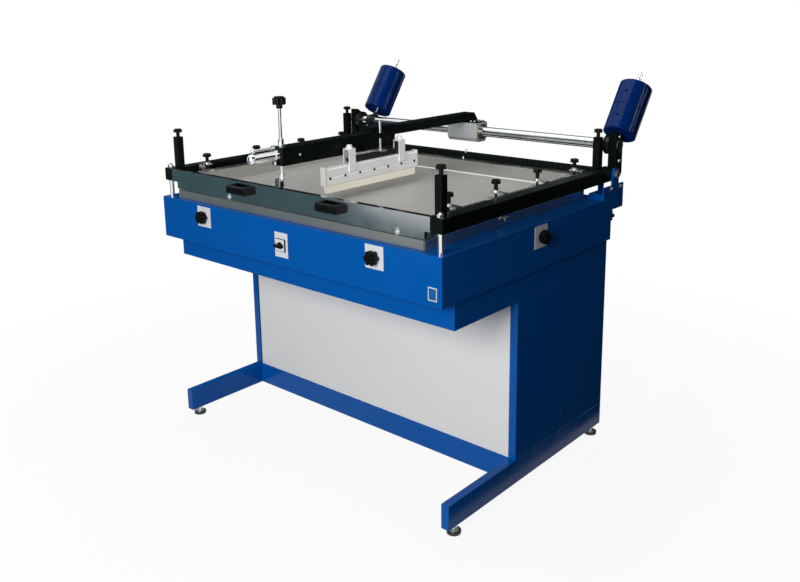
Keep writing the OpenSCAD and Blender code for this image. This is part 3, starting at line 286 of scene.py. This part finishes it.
SEA_GREEN = (0.060, 0.110, 0.120)
wall("left_card", (-4200, -1650), (-2750, -3230), 0, 3500, glow=SEA_GREEN)
wall("tall_card", (-2740, -3240), (-1000, -5150), 350, 4500, glow=SEA_GREEN)
wall("right_card", (3800, 2200), (1600, 5400), 0, 2600)
wall("back_card", (-4600, 2600), (400, 7600), 0, 5200)
dark_card("back_carpet", [(-4400, 2200, 4), (-2600, 1100, 4), (600, 1100, 4), (600, 6000, 4),
                          (-1400, 6000, 4)])
dark_card("high_card", [(3900, -3000, 2500), (3900, 1500, 2500), (1500, 1500, 5200),
                        (1500, -3000, 5200)])
wall("side_card", (3900, -700), (3900, 2200), 0, 1500)
dark_card("left_carpet", [(-4400, -300, 4), (-300, -300, 4), (-300, -3050, 4), (-2700, -3050, 4),
                          (-2700, -3700, 4), (-4400, -3700, 4)], glow=SEA_GREEN)
dark_card("right_carpet", [(700, 100, 4), (4400, 100, 4), (4400, 5400, 4), (700, 5400, 4)])
for name in ("side_card", "right_carpet"):
    scene.objects[name].visible_diffuse = True

# %% [markdown]
# ## Shared surface effects
#
# No real surface is perfectly even. Sprayed enamel has a faint waviness, drawn metal has
# fine lines along its length, a casting has a grain, and every plate is smudged a little.
# Each of these effects is made once, as a small node group with inputs for its size and
# depth, and then used by all materials that need it. Because all parts share one set of
# coordinates, a scale in the group means the same size on every part.


# %% A helper that starts a node group
def start_group(name, inputs, outputs):
    """A new shader node group, with its input and output nodes."""
    group = bpy.data.node_groups.new(name, "ShaderNodeTree")
    for label, kind, value in inputs:
        socket = group.interface.new_socket(label, in_out="INPUT", socket_type=kind)
        socket.default_value = value
    for label, kind in outputs:
        group.interface.new_socket(label, in_out="OUTPUT", socket_type=kind)
    return group, group.nodes.new("NodeGroupInput"), group.nodes.new("NodeGroupOutput")


def place_noise(group, scale, detail=2.0):
    """A noise texture in object coordinates, whose scale is a number or a socket."""
    place = group.nodes.new("ShaderNodeTexCoord")
    noise = group.nodes.new("ShaderNodeTexNoise")
    noise.inputs["Detail"].default_value = detail
    if isinstance(scale, (int, float)):
        noise.inputs["Scale"].default_value = scale
    else:
        group.links.new(scale, noise.inputs["Scale"])
    group.links.new(place.outputs["Object"], noise.inputs["Vector"])
    return noise


# %% Rounded edges, grain and cloud
FLOAT, VECTOR = "NodeSocketFloat", "NodeSocketVector"

skin, given, result = start_group(
    "sprayed_skin",
    [("Edge", FLOAT, 0.001), ("Scale", FLOAT, 900.0), ("Depth", FLOAT, 0.00002)],
    [("Normal", VECTOR), ("Cloud", FLOAT)])
edge = skin.nodes.new("ShaderNodeBevel")
edge.samples = 4
skin.links.new(given.outputs["Edge"], edge.inputs["Radius"])
grain = place_noise(skin, given.outputs["Scale"])
bump = skin.nodes.new("ShaderNodeBump")
skin.links.new(given.outputs["Depth"], bump.inputs["Distance"])
skin.links.new(grain.outputs["Fac"], bump.inputs["Height"])
skin.links.new(edge.outputs["Normal"], bump.inputs["Normal"])
skin.links.new(bump.outputs["Normal"], result.inputs["Normal"])
cloud = place_noise(skin, 5.0, 3.0)
skin.links.new(cloud.outputs["Fac"], result.inputs["Cloud"])

# %% Drawn and brushed metal
drawn, given, result = start_group(
    "drawn_metal",
    [("Along", VECTOR, (1.0, 1.0, 0.02)), ("Scale", FLOAT, 1500.0), ("Depth", FLOAT, 0.00001)],
    [("Normal", VECTOR), ("Streak", FLOAT), ("Cloud", FLOAT)])
place = drawn.nodes.new("ShaderNodeTexCoord")
stretch = drawn.nodes.new("ShaderNodeVectorMath")
stretch.operation = "MULTIPLY"
drawn.links.new(place.outputs["Object"], stretch.inputs[0])
drawn.links.new(given.outputs["Along"], stretch.inputs[1])
lines = drawn.nodes.new("ShaderNodeTexNoise")
lines.inputs["Detail"].default_value = 3
drawn.links.new(stretch.outputs[0], lines.inputs["Vector"])
drawn.links.new(given.outputs["Scale"], lines.inputs["Scale"])
edge = drawn.nodes.new("ShaderNodeBevel")
edge.samples = 4
edge.inputs["Radius"].default_value = 0.0006
bump = drawn.nodes.new("ShaderNodeBump")
drawn.links.new(given.outputs["Depth"], bump.inputs["Distance"])
drawn.links.new(lines.outputs["Fac"], bump.inputs["Height"])
drawn.links.new(edge.outputs["Normal"], bump.inputs["Normal"])
drawn.links.new(bump.outputs["Normal"], result.inputs["Normal"])
drawn.links.new(lines.outputs["Fac"], result.inputs["Streak"])
cloud = place_noise(drawn, 9.0, 3.0)
drawn.links.new(cloud.outputs["Fac"], result.inputs["Cloud"])
print("groups", [g.name for g in bpy.data.node_groups])


# %% Masks by place
def link_math(group, operation, first, second=None):
    """One Math node in a group, fed by sockets or numbers."""
    made = group.nodes.new("ShaderNodeMath")
    made.operation = operation
    for socket, value in zip(made.inputs, (first, second)):
        if isinstance(value, (int, float)):
            socket.default_value = value
        elif value is not None:
            group.links.new(value, socket)
    return made.outputs[0]


inside, given, result = start_group(
    "inside_box", [("Low", VECTOR, (0, 0, 0)), ("High", VECTOR, (1, 1, 1))], [("Mask", FLOAT)])
place = inside.nodes.new("ShaderNodeTexCoord")
parts = []
for source in (place.outputs["Object"], given.outputs["Low"], given.outputs["High"]):
    split = inside.nodes.new("ShaderNodeSeparateXYZ")
    inside.links.new(source, split.inputs[0])
    parts.append(split)
product = 1.0
for axis in "XYZ":
    above = link_math(inside, "GREATER_THAN", parts[0].outputs[axis], parts[1].outputs[axis])
    below = link_math(inside, "LESS_THAN", parts[0].outputs[axis], parts[2].outputs[axis])
    product = link_math(inside, "MULTIPLY", product, link_math(inside, "MULTIPLY", above, below))
inside.links.new(product, result.inputs["Mask"])

# %% Drilled holes and woven threads
drilled, given, result = start_group(
    "drilled_holes", [("Pitch", FLOAT, 0.02), ("Radius", FLOAT, 0.001)], [("Mask", FLOAT)])
place = drilled.nodes.new("ShaderNodeTexCoord")
split = drilled.nodes.new("ShaderNodeSeparateXYZ")
drilled.links.new(place.outputs["Object"], split.inputs[0])
sides = []
for axis in "XY":
    cell = link_math(drilled, "DIVIDE", split.outputs[axis], given.outputs["Pitch"])
    away = link_math(drilled, "SUBTRACT", link_math(drilled, "FRACT", cell), 0.5)
    away = link_math(drilled, "MULTIPLY", away, given.outputs["Pitch"])
    sides.append(link_math(drilled, "POWER", link_math(drilled, "ABSOLUTE", away), 2.0))
away = link_math(drilled, "SQRT", link_math(drilled, "ADD", sides[0], sides[1]))
in_hole = link_math(drilled, "LESS_THAN", away, given.outputs["Radius"])
drilled.links.new(in_hole, result.inputs["Mask"])

woven, given, result = start_group("woven_threads", [("Pitch", FLOAT, 0.0005)], [("Thread", FLOAT)])
place = woven.nodes.new("ShaderNodeTexCoord")
split = woven.nodes.new("ShaderNodeSeparateXYZ")
woven.links.new(place.outputs["Object"], split.inputs[0])
waves = []
for axis in "XY":
    turn = link_math(woven, "DIVIDE", split.outputs[axis], given.outputs["Pitch"])
    wave = link_math(woven, "SINE", link_math(woven, "MULTIPLY", turn, math.pi))
    waves.append(link_math(woven, "ABSOLUTE", wave))
woven.links.new(link_math(woven, "MAXIMUM", waves[0], waves[1]), result.inputs["Thread"])
print("groups", [g.name for g in bpy.data.node_groups])

# %% [markdown]
# ## The finishes
#
# Each finish is one material. The constant numbers, such as how metallic or how clear a
# coat is, sit directly on the shader. What varies over the surface comes from the shared
# groups: the skin's normal, and a slow cloud that lightens, darkens and dulls the finish by
# a few percent, as cleaning and handling do. Where one part carries two finishes, such as
# the web between the holder's bright clamps painted black as painted shade, the second one
# is mixed in by a box that is given in drawing millimetres.

# %% A helper that makes a finish
def finish(name, color, rough, metal=0.0, shine=0.5, edge=0.001, scale=900.0, depth=0.00002,
           along=None, spread=0.10, dull=0.08, sheen=0.0):
    """A material from a colour and a roughness, with the right shared surface effect.

    Edge is the radius of its rounded corners and depth the height of its grain, in metres.
    Spread and dull say how far the slow cloud changes the colour and the roughness.
    """
    made = bpy.data.materials.new(name)
    made.use_nodes = True
    made.diffuse_color = (*color, 1)
    tree = made.node_tree
    shader = tree.nodes["Principled BSDF"]
    shader.inputs["Metallic"].default_value = metal
    shader.inputs["Specular IOR Level"].default_value = shine
    shader.inputs["Sheen Weight"].default_value = sheen
    effect = tree.nodes.new("ShaderNodeGroup")
    if along:
        effect.node_tree = drawn
        effect.inputs["Along"].default_value = along
    else:
        effect.node_tree = skin
        effect.inputs["Edge"].default_value = edge
    effect.inputs["Scale"].default_value = scale
    effect.inputs["Depth"].default_value = depth
    tree.links.new(effect.outputs["Normal"], shader.inputs["Normal"])
    tint = tree.nodes.new("ShaderNodeMix")
    tint.name = "tint"
    tint.data_type = "RGBA"
    tint.inputs["A"].default_value = (*[c * (1 - spread) for c in color], 1)
    tint.inputs["B"].default_value = (*[min(1, c * (1 + spread)) for c in color], 1)
    tree.links.new(effect.outputs["Cloud"], tint.inputs["Factor"])
    tree.links.new(tint.outputs["Result"], shader.inputs["Base Color"])
    gloss = tree.nodes.new("ShaderNodeMapRange")
    gloss.inputs["From Min"].default_value = 0.3
    gloss.inputs["From Max"].default_value = 0.7
    gloss.inputs["To Min"].default_value = max(0.02, rough - dull)
    gloss.inputs["To Max"].default_value = rough + dull
    tree.links.new(effect.outputs["Cloud"], gloss.inputs["Value"])
    tree.links.new(gloss.outputs["Result"], shader.inputs["Roughness"])
    return made


def recolour(material, mask, color, metal=None):
    """Mix a second colour into a finish where the mask is 1."""
    tree = material.node_tree
    shader = tree.nodes["Principled BSDF"]
    old = shader.inputs["Base Color"].links[0].from_socket
    change = tree.nodes.new("ShaderNodeMix")
    change.data_type = "RGBA"
    change.inputs["B"].default_value = (*color, 1)
    tree.links.new(mask, change.inputs["Factor"])
    tree.links.new(old, change.inputs["A"])
    tree.links.new(change.outputs["Result"], shader.inputs["Base Color"])
    if metal is not None:
        blend = tree.nodes.new("ShaderNodeMapRange")
        blend.inputs["To Min"].default_value = shader.inputs["Metallic"].default_value
        blend.inputs["To Max"].default_value = metal
        tree.links.new(mask, blend.inputs["Value"])
        tree.links.new(blend.outputs["Result"], shader.inputs["Metallic"])
    return material


def polish(material, mask, rough):
    """Give a finish another roughness where the mask is 1."""
    tree = material.node_tree
    shader = tree.nodes["Principled BSDF"]
    blend = tree.nodes.new("ShaderNodeMix")
    blend.inputs["B"].default_value = rough
    tree.links.new(mask, blend.inputs["Factor"])
    tree.links.new(shader.inputs["Roughness"].links[0].from_socket, blend.inputs["A"])
    tree.links.new(blend.outputs["Result"], shader.inputs["Roughness"])
    return material


def box_mask(material, low, high):
    """The mask of a box whose corners are drawing millimetres."""
    made = material.node_tree.nodes.new("ShaderNodeGroup")
    made.node_tree = inside
    made.inputs["Low"].default_value = at(*low)
    made.inputs["High"].default_value = at(*high)
    return made.outputs["Mask"]


# %% Paints
finishes = {
    "blue_paint": finish("blue_paint", (0.001, 0.105, 0.44), 0.20, shine=0.12, edge=0.0022,
                         scale=600, depth=0.000008, spread=0.04),
    "pale_paint": finish("pale_paint", (0.93, 0.94, 0.93), 0.45, shine=0.3, spread=0.015),
    "dark_paint": finish("dark_paint", (0.003, 0.006, 0.005), 0.30, shine=0.10, edge=0.002,
                         spread=0.2),
    "motor_grey": finish("motor_grey", (0.19, 0.21, 0.22), 0.42, edge=0.002),
}

# %% Metals
finishes.update({
    "steel": finish("steel", (0.74, 0.75, 0.76), 0.26, metal=1, along=(1, 1, 1), scale=700),
    "zinc_sheet": finish("zinc_sheet", (0.62, 0.63, 0.64), 0.42, metal=1, along=(1, 1, 1),
                         scale=60),
    "chrome": finish("chrome", (0.80, 0.81, 0.82), 0.10, metal=1, along=(0.05, 1, 1),
                     depth=0.000004, dull=0.04),
    "aluminium": finish("aluminium", (0.72, 0.73, 0.73), 0.34, metal=1, along=(0.03, 1, 1)),
    "casting": finish("casting", (0.62, 0.65, 0.64), 0.5, metal=0.5, edge=0.002, scale=1100,
                      depth=0.0002),
    "black_metal": finish("black_metal", (0.012, 0.012, 0.014), 0.35, metal=0.3, edge=0.0008),
    "bronze": finish("bronze", (0.50, 0.44, 0.33), 0.35, metal=1, along=(1, 1, 1)),
})

# %% Plastics, rubber and cloth
finishes.update({
    "black_plastic": finish("black_plastic", (0.004, 0.004, 0.005), 0.30, shine=0.15, edge=0.0012,
                            depth=0.00004),
    "black_pipe": finish("black_pipe", (0.014, 0.014, 0.016), 0.42, edge=0.0008),
    "blade": finish("blade", (0.96, 0.92, 0.78), 0.40, edge=0.0005, sheen=0.1, spread=0.03),
    "mesh": finish("mesh", (0.72, 0.70, 0.66), 0.55, spread=0.02),
})
for name, part in nodes.items():
    for slot in part.material_slots:
        slot.material = finishes[slot_of[name]]
print(len(finishes), "finishes on", len(nodes), "parts")

# %% [markdown]
# ## Parts that need a finish of their own
#
# Several parts share a metal but not its surface. The front bar is a polished tube that
# mirrors the studio. The bed is ground flat, its grid of small suction holes is painted as
# dark dots of painted shade, and its right side is polished, so that it mirrors the blue
# deck. The levelling feet have black pads on bright spindles, the web between the squeegee
# holder's bright clamps is painted black as painted shade, and the counterweights wear a
# glossier blue than the casing, darkened by painted shade.


# %% Give a part its own finish
dressed = []


def dress(node, material):
    """Put one material on all slots of a construction part."""
    dressed.append(node)
    for slot in nodes[node].material_slots:
        slot.material = material


# Black for the rubber pads of the feet and for the mounting bar, and painted shade on the squeegee
# holder's web.
BLACK_AND_PAINTED_SHADE = (0.012, 0.012, 0.013)
# The box of the holder's web, painted black as painted shade for the dark gap between the clamps.
WEB_SHADE_BOX = (15.5, 293, 1033.5), (34.5, 540, 1078)
FOOT_PADS = (-900, -100, -5), (900, 1200, 9.6)
LIFT_ROD = (-60, 360, 1054), (60, 470, 1200)

dress("front_bar", finish("polished_bar", (0.66, 0.68, 0.69), 0.13, metal=1, along=(0.02, 1, 1),
                          depth=0.000006, dull=0.04))
dress("screen_frame", finish("frame_tube", (0.62, 0.63, 0.60), 0.24, metal=0.95,
                             along=(0.05, 0.05, 1), scale=700, depth=0.000003, spread=0.05))
holder = finish("holder_profile", (0.88, 0.89, 0.88), 0.42, metal=0.25, along=(1, 0.02, 1))
# The holder's web is painted black: painted shade in the gap between its bright clamps.
dress("squeegee_holder", recolour(holder, box_mask(holder, *WEB_SHADE_BOX), BLACK_AND_PAINTED_SHADE, 0.2))
foot = finish("levelling_foot", (0.58, 0.59, 0.60), 0.3, metal=1, along=(1, 1, 1))
dress("levelling_feet", recolour(foot, box_mask(foot, *FOOT_PADS), BLACK_AND_PAINTED_SHADE, 0.0))
# The counterweights get a glossier blue, made darker than the casing's blue as painted shade.
dress("weight_discs", finish("weight_blue_shaded", (0.0, 0.023, 0.15), 0.05, shine=0.08, edge=0.0025,
                             depth=0.000004, spread=0.05, dull=0.03))
mounted = finish("mounting_bar", BLACK_AND_PAINTED_SHADE, 0.32, metal=0.2)
dress("squeegee_mount", recolour(mounted, box_mask(mounted, *LIFT_ROD), (0.62, 0.63, 0.64), 1.0))

# %% The ground bed, with its suction holes as painted shade
HOLE_PITCH, HOLE_RADIUS = 0.016, 0.0011
BED_TOP = (-900, 0, 910), (900, 1000, 912)
BED_RIGHT_SIDE = (570, 0, 880), (580, 1000, 910.5)

ground = finish("ground_bed", (0.50, 0.50, 0.48), 0.30, metal=0.85, along=(0.05, 1, 1), scale=250,
                depth=0.0, spread=0.03, dull=0.02)
# Near-black dots on the grid of suction holes on the bed's top: painted shade for the inside of
# each hole.
holes = ground.node_tree.nodes.new("ShaderNodeGroup")
holes.node_tree = drilled
holes.inputs["Pitch"].default_value = HOLE_PITCH
holes.inputs["Radius"].default_value = HOLE_RADIUS
painted_hole_shade = ground.node_tree.nodes.new("ShaderNodeMath")
painted_hole_shade.operation = "MULTIPLY"
ground.node_tree.links.new(holes.outputs["Mask"], painted_hole_shade.inputs[0])
ground.node_tree.links.new(box_mask(ground, *BED_TOP), painted_hole_shade.inputs[1])
recolour(ground, painted_hole_shade.outputs[0], (0.02, 0.02, 0.02))
polish(ground, box_mask(ground, *BED_RIGHT_SIDE), 0.06)
dress("vacuum_bed", ground)
print("own finishes on", dressed)

# %% [markdown]
# ## The screen cloth
#
# The printing screen is a fine polyester cloth, glued to the underside of its tube frame
# under even tension. Light passes between the threads, so the bed shows through it as a
# warm grey. A fine grid of faces carries a material whose opacity follows the weave.

# %% Weave the cloth
CLOTH = (-536, 75, 536, 875)
Z_CLOTH = 919.25
THREAD_PITCH = 0.0005
OPAQUE_SHARE = 0.30, 0.62  # of a gap in the weave, and of a thread


def new_piece(name, mesh_maker, material, body):
    """Make a piece from a function that fills a bmesh, and let it ride on a body."""
    bm = bmesh.new()
    mesh_maker(bm)
    bmesh.ops.remove_doubles(bm, verts=bm.verts, dist=1e-6)
    bmesh.ops.recalc_face_normals(bm, faces=bm.faces)
    mesh = bpy.data.meshes.new(name)
    bm.to_mesh(mesh)
    bm.free()
    mesh.materials.append(material)
    piece = bpy.data.objects.new(name, mesh)
    scene.collection.objects.link(piece)
    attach(piece, body)
    return piece


def cloth_grid(bm):
    """A flat grid of faces between the inner edges of the screen frame."""
    across, back = 54, 40
    rows = [[bm.verts.new(at(CLOTH[0] + (CLOTH[2] - CLOTH[0]) * i / across,
                             CLOTH[1] + (CLOTH[3] - CLOTH[1]) * j / back, Z_CLOTH))
             for i in range(across + 1)] for j in range(back + 1)]
    for j in range(back):
        for i in range(across):
            bm.faces.new((rows[j][i], rows[j][i + 1], rows[j + 1][i + 1], rows[j + 1][i]))


cloth_finish = finish("screen_weave", (0.86, 0.84, 0.80), 0.5, shine=0.3, spread=0.03)
threads = cloth_finish.node_tree.nodes.new("ShaderNodeGroup")
threads.node_tree = woven
threads.inputs["Pitch"].default_value = THREAD_PITCH
clear = between(cloth_finish.node_tree, threads.outputs["Thread"], *OPAQUE_SHARE)
cloth_finish.node_tree.links.new(clear.outputs["Result"],
                                 cloth_finish.node_tree.nodes["Principled BSDF"].inputs["Alpha"])
cloth = new_piece("screen_cloth", cloth_grid, cloth_finish, "carrier")
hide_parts("screen_mesh")
print("cloth", len(cloth.data.polygons), "faces")

# %% [markdown]
# ## Screws, bolts and small plates
#
# Fasteners are made after everything else and bought by the box, so one turned shape serves
# for many of them. A profile is spun round an axis, as on a lathe: the same helper makes a
# domed screw, a socket screw and a washer. Small plates are thin boxes with rounded edges.


# %% Helpers for turned and flat pieces
def turned(bm, start, axis, profile, steps=24):
    """Spin a profile of (along, radius) millimetres round an axis through a drawing point."""
    aim = Vector(axis).normalized().to_track_quat("Z", "Y").to_matrix()
    base = at(*start)
    rings = []
    for along, radius in profile:
        ring = []
        for k in range(steps):
            angle = 2 * math.pi * k / steps
            point = Vector((radius * math.cos(angle), radius * math.sin(angle), along)) / 1000
            ring.append(bm.verts.new(base + aim @ point))
        rings.append(ring)
    for below, above in zip(rings, rings[1:]):
        for k in range(steps):
            n = (k + 1) % steps
            bm.faces.new((below[k], below[n], above[n], above[k]))
    bm.faces.new(rings[0][::-1])
    bm.faces.new(rings[-1])


def plate(bm, low, high, round_by=0.6):
    """A box between two drawing points with rounded edges."""
    a, b = at(*low), at(*high)
    made = bmesh.ops.create_cube(bm, size=1.0)["verts"]
    for v in made:
        v.co = Vector([(a[i] + b[i]) / 2 + v.co[i] * (b[i] - a[i]) for i in range(3)])
    edges = {e for v in made for e in v.link_edges}
    bmesh.ops.bevel(bm, geom=list(edges), offset=round_by / 1000, segments=2, affect="EDGES",
                    profile=0.7)


def dome(radius, high):
    """The profile of a domed screw head."""
    return [(0, radius), (high * 0.35, radius), (high * 0.7, radius * 0.85),
            (high * 0.93, radius * 0.5), (high, radius * 0.12)]


def socket_cap(radius, high):
    """The profile of a cylinder head with a round recess in its end."""
    return [(0, radius), (high * 0.85, radius), (high, radius * 0.88), (high, radius * 0.52),
            (high * 0.45, radius * 0.5), (high * 0.42, radius * 0.05)]


def smooth(piece, angle=35):
    """Shade the round faces smooth and keep the corners crisp."""
    bpy.context.view_layer.objects.active = piece
    piece.select_set(True)
    bpy.ops.object.shade_smooth_by_angle(angle=math.radians(angle))
    piece.select_set(False)
    return piece


# %% The switch plate and the bare plate at the corner
def switch_base(bm):
    """The square black base of a cam switch, 4 mm proud of its plate."""
    plate(bm, (-27, -6, 783), (15, -1.5, 825), 1.0)


def switch_face(bm):
    """A pale insert on the front of the switch base."""
    plate(bm, (-25.5, -6.6, 784.5), (12.5, -5.5, 823.5), 0.3)


label_white = finish("label_white", (0.80, 0.82, 0.83), 0.4, shine=0.3, spread=0.015)
new_piece("switch_base", switch_base, finishes["black_plastic"], "stand")
new_piece("switch_face", switch_face, label_white, "stand")
dress("control_plates", finish("control_plate", (0.78, 0.80, 0.82), 0.35, shine=0.4, spread=0.02))
corner_finish = finish("corner_plate", (0.75, 0.76, 0.76), 0.35, shine=0.4, spread=0.02)
recolour(corner_finish, box_mask(corner_finish, (603, -3, 752.5), (629, 1, 785.5)),
         (0.01, 0.12, 0.36))
new_piece("corner_plate", lambda bm: plate(bm, (600, -0.8, 749), (632, 0, 789), 0.3),
          corner_finish, "stand")


# %% Bolts of the hinges and the uprights
CASING_SIDE, UPRIGHT_SIDE = 650, 643
WASHER = [(0, 8), (1.2, 8), (1.3, 7)]
HEXAGON_HEAD = [(1.2, 6.2), (5.2, 6.2), (6, 5.2), (6, 0.5)]


def hinge_bolts(bm):
    """Two hexagon bolts and their washers under the pin of each hinge."""
    for side in (-1, 1):
        for y in (1012, 946):
            turned(bm, (side * CASING_SIDE, y, 914), (side, 0, 0), WASHER, 24)
            turned(bm, (side * CASING_SIDE, y, 914), (side, 0, 0), HEXAGON_HEAD, 6)


def upright_bolts(bm):
    """Two domed bolts on the outer face of each upright."""
    for side in (-1, 1):
        for z in (1004, 1091):
            turned(bm, (side * UPRIGHT_SIDE, 1008, z), (side, 0, 0), dome(6.5, 4), 24)


smooth(new_piece("hinge_bolts", hinge_bolts, finishes["steel"], "stand"))
smooth(new_piece("upright_bolts", upright_bolts, finishes["steel"], "carrier"))


# %% Screws of the squeegee
HOLDER_X, HOLDER_HALF = 25, 11
SCREW_PITCH = 71


def holder_screws(bm):
    """A row of clamping screws along both sides of the blade holder."""
    for side in (-1, 1):
        for number in range(7):
            start = (HOLDER_X + side * HOLDER_HALF, 184 + number * SCREW_PITCH, 997)
            turned(bm, start, (side, 0, 0), socket_cap(4.2, 2.6), 20)


def end_caps(bm):
    """A thin plate over each end of the holder, held by two screws."""
    for y0, y1, face in ((162.5, 166, -1), (626, 629.5, 1)):
        plate(bm, (12.5, y0, 972), (37.5, y1, 1036), 1.0)
        for z in (985, 1024):
            turned(bm, (HOLDER_X, y0 if face < 0 else y1, z), (0, face, 0), dome(3.6, 2.2), 16)


smooth(new_piece("holder_screws", holder_screws, finishes["black_metal"],
                 "squeegee"))
cap_finish = finish("end_cap", (0.70, 0.70, 0.66), 0.4, shine=0.4, spread=0.03)
smooth(new_piece("end_caps", end_caps, cap_finish, "squeegee"))

# %% Set screws in the counterweights
SHAFT = (1008, 1060)
DISC_THICK = 98
HOLE_BOTTOM = 46
WEIGHTS = ((-535, 34, 50), (628, 36, 41))  # place along the shaft, lean in degrees, first disc


def weight_screws(bm):
    """A socket screw at the bottom of the hole in each disc."""
    for x, lean, base in WEIGHTS:
        up = Vector((0, math.sin(math.radians(lean)), math.cos(math.radians(lean))))
        out = Vector((0, -math.cos(math.radians(lean)), math.sin(math.radians(lean))))
        for number in range(2):
            middle = (Vector((x, *SHAFT)) + up * (base + DISC_THICK * (number + 0.5))
                      + out * HOLE_BOTTOM)
            turned(bm, middle, out, socket_cap(4.3, 5), 20)


smooth(new_piece("weight_screws", weight_screws, finishes["black_metal"], "carrier"))


# %% Screws of the arm and the carriage
def arm_screws(bm):
    """Cap screws that hold the arm's plate on the casting, and one in the side of the beam."""
    for x in (-80, -66, 16, 34):
        for y in (982, 1034):
            turned(bm, (x, y, 1098), (0, 0, 1), socket_cap(4.5, 5), 20)
    turned(bm, (0, 89, 1086), (1, 0, 0), dome(4, 2.4), 20)


smooth(new_piece("arm_screws", arm_screws, finishes["steel"], "squeegee_arm"))


def rail_pins(bm):
    """A stop pin on top of the rear rail and a rivet in its face."""
    turned(bm, (25, 938, 984), (0, 0, 1), [(0, 5), (9, 5), (11, 4), (11, 0.5)], 20)
    turned(bm, (25, 920, 966), (0, -1, 0), dome(4, 2), 20)


smooth(new_piece("rail_pins", rail_pins, finishes["steel"], "carrier"))
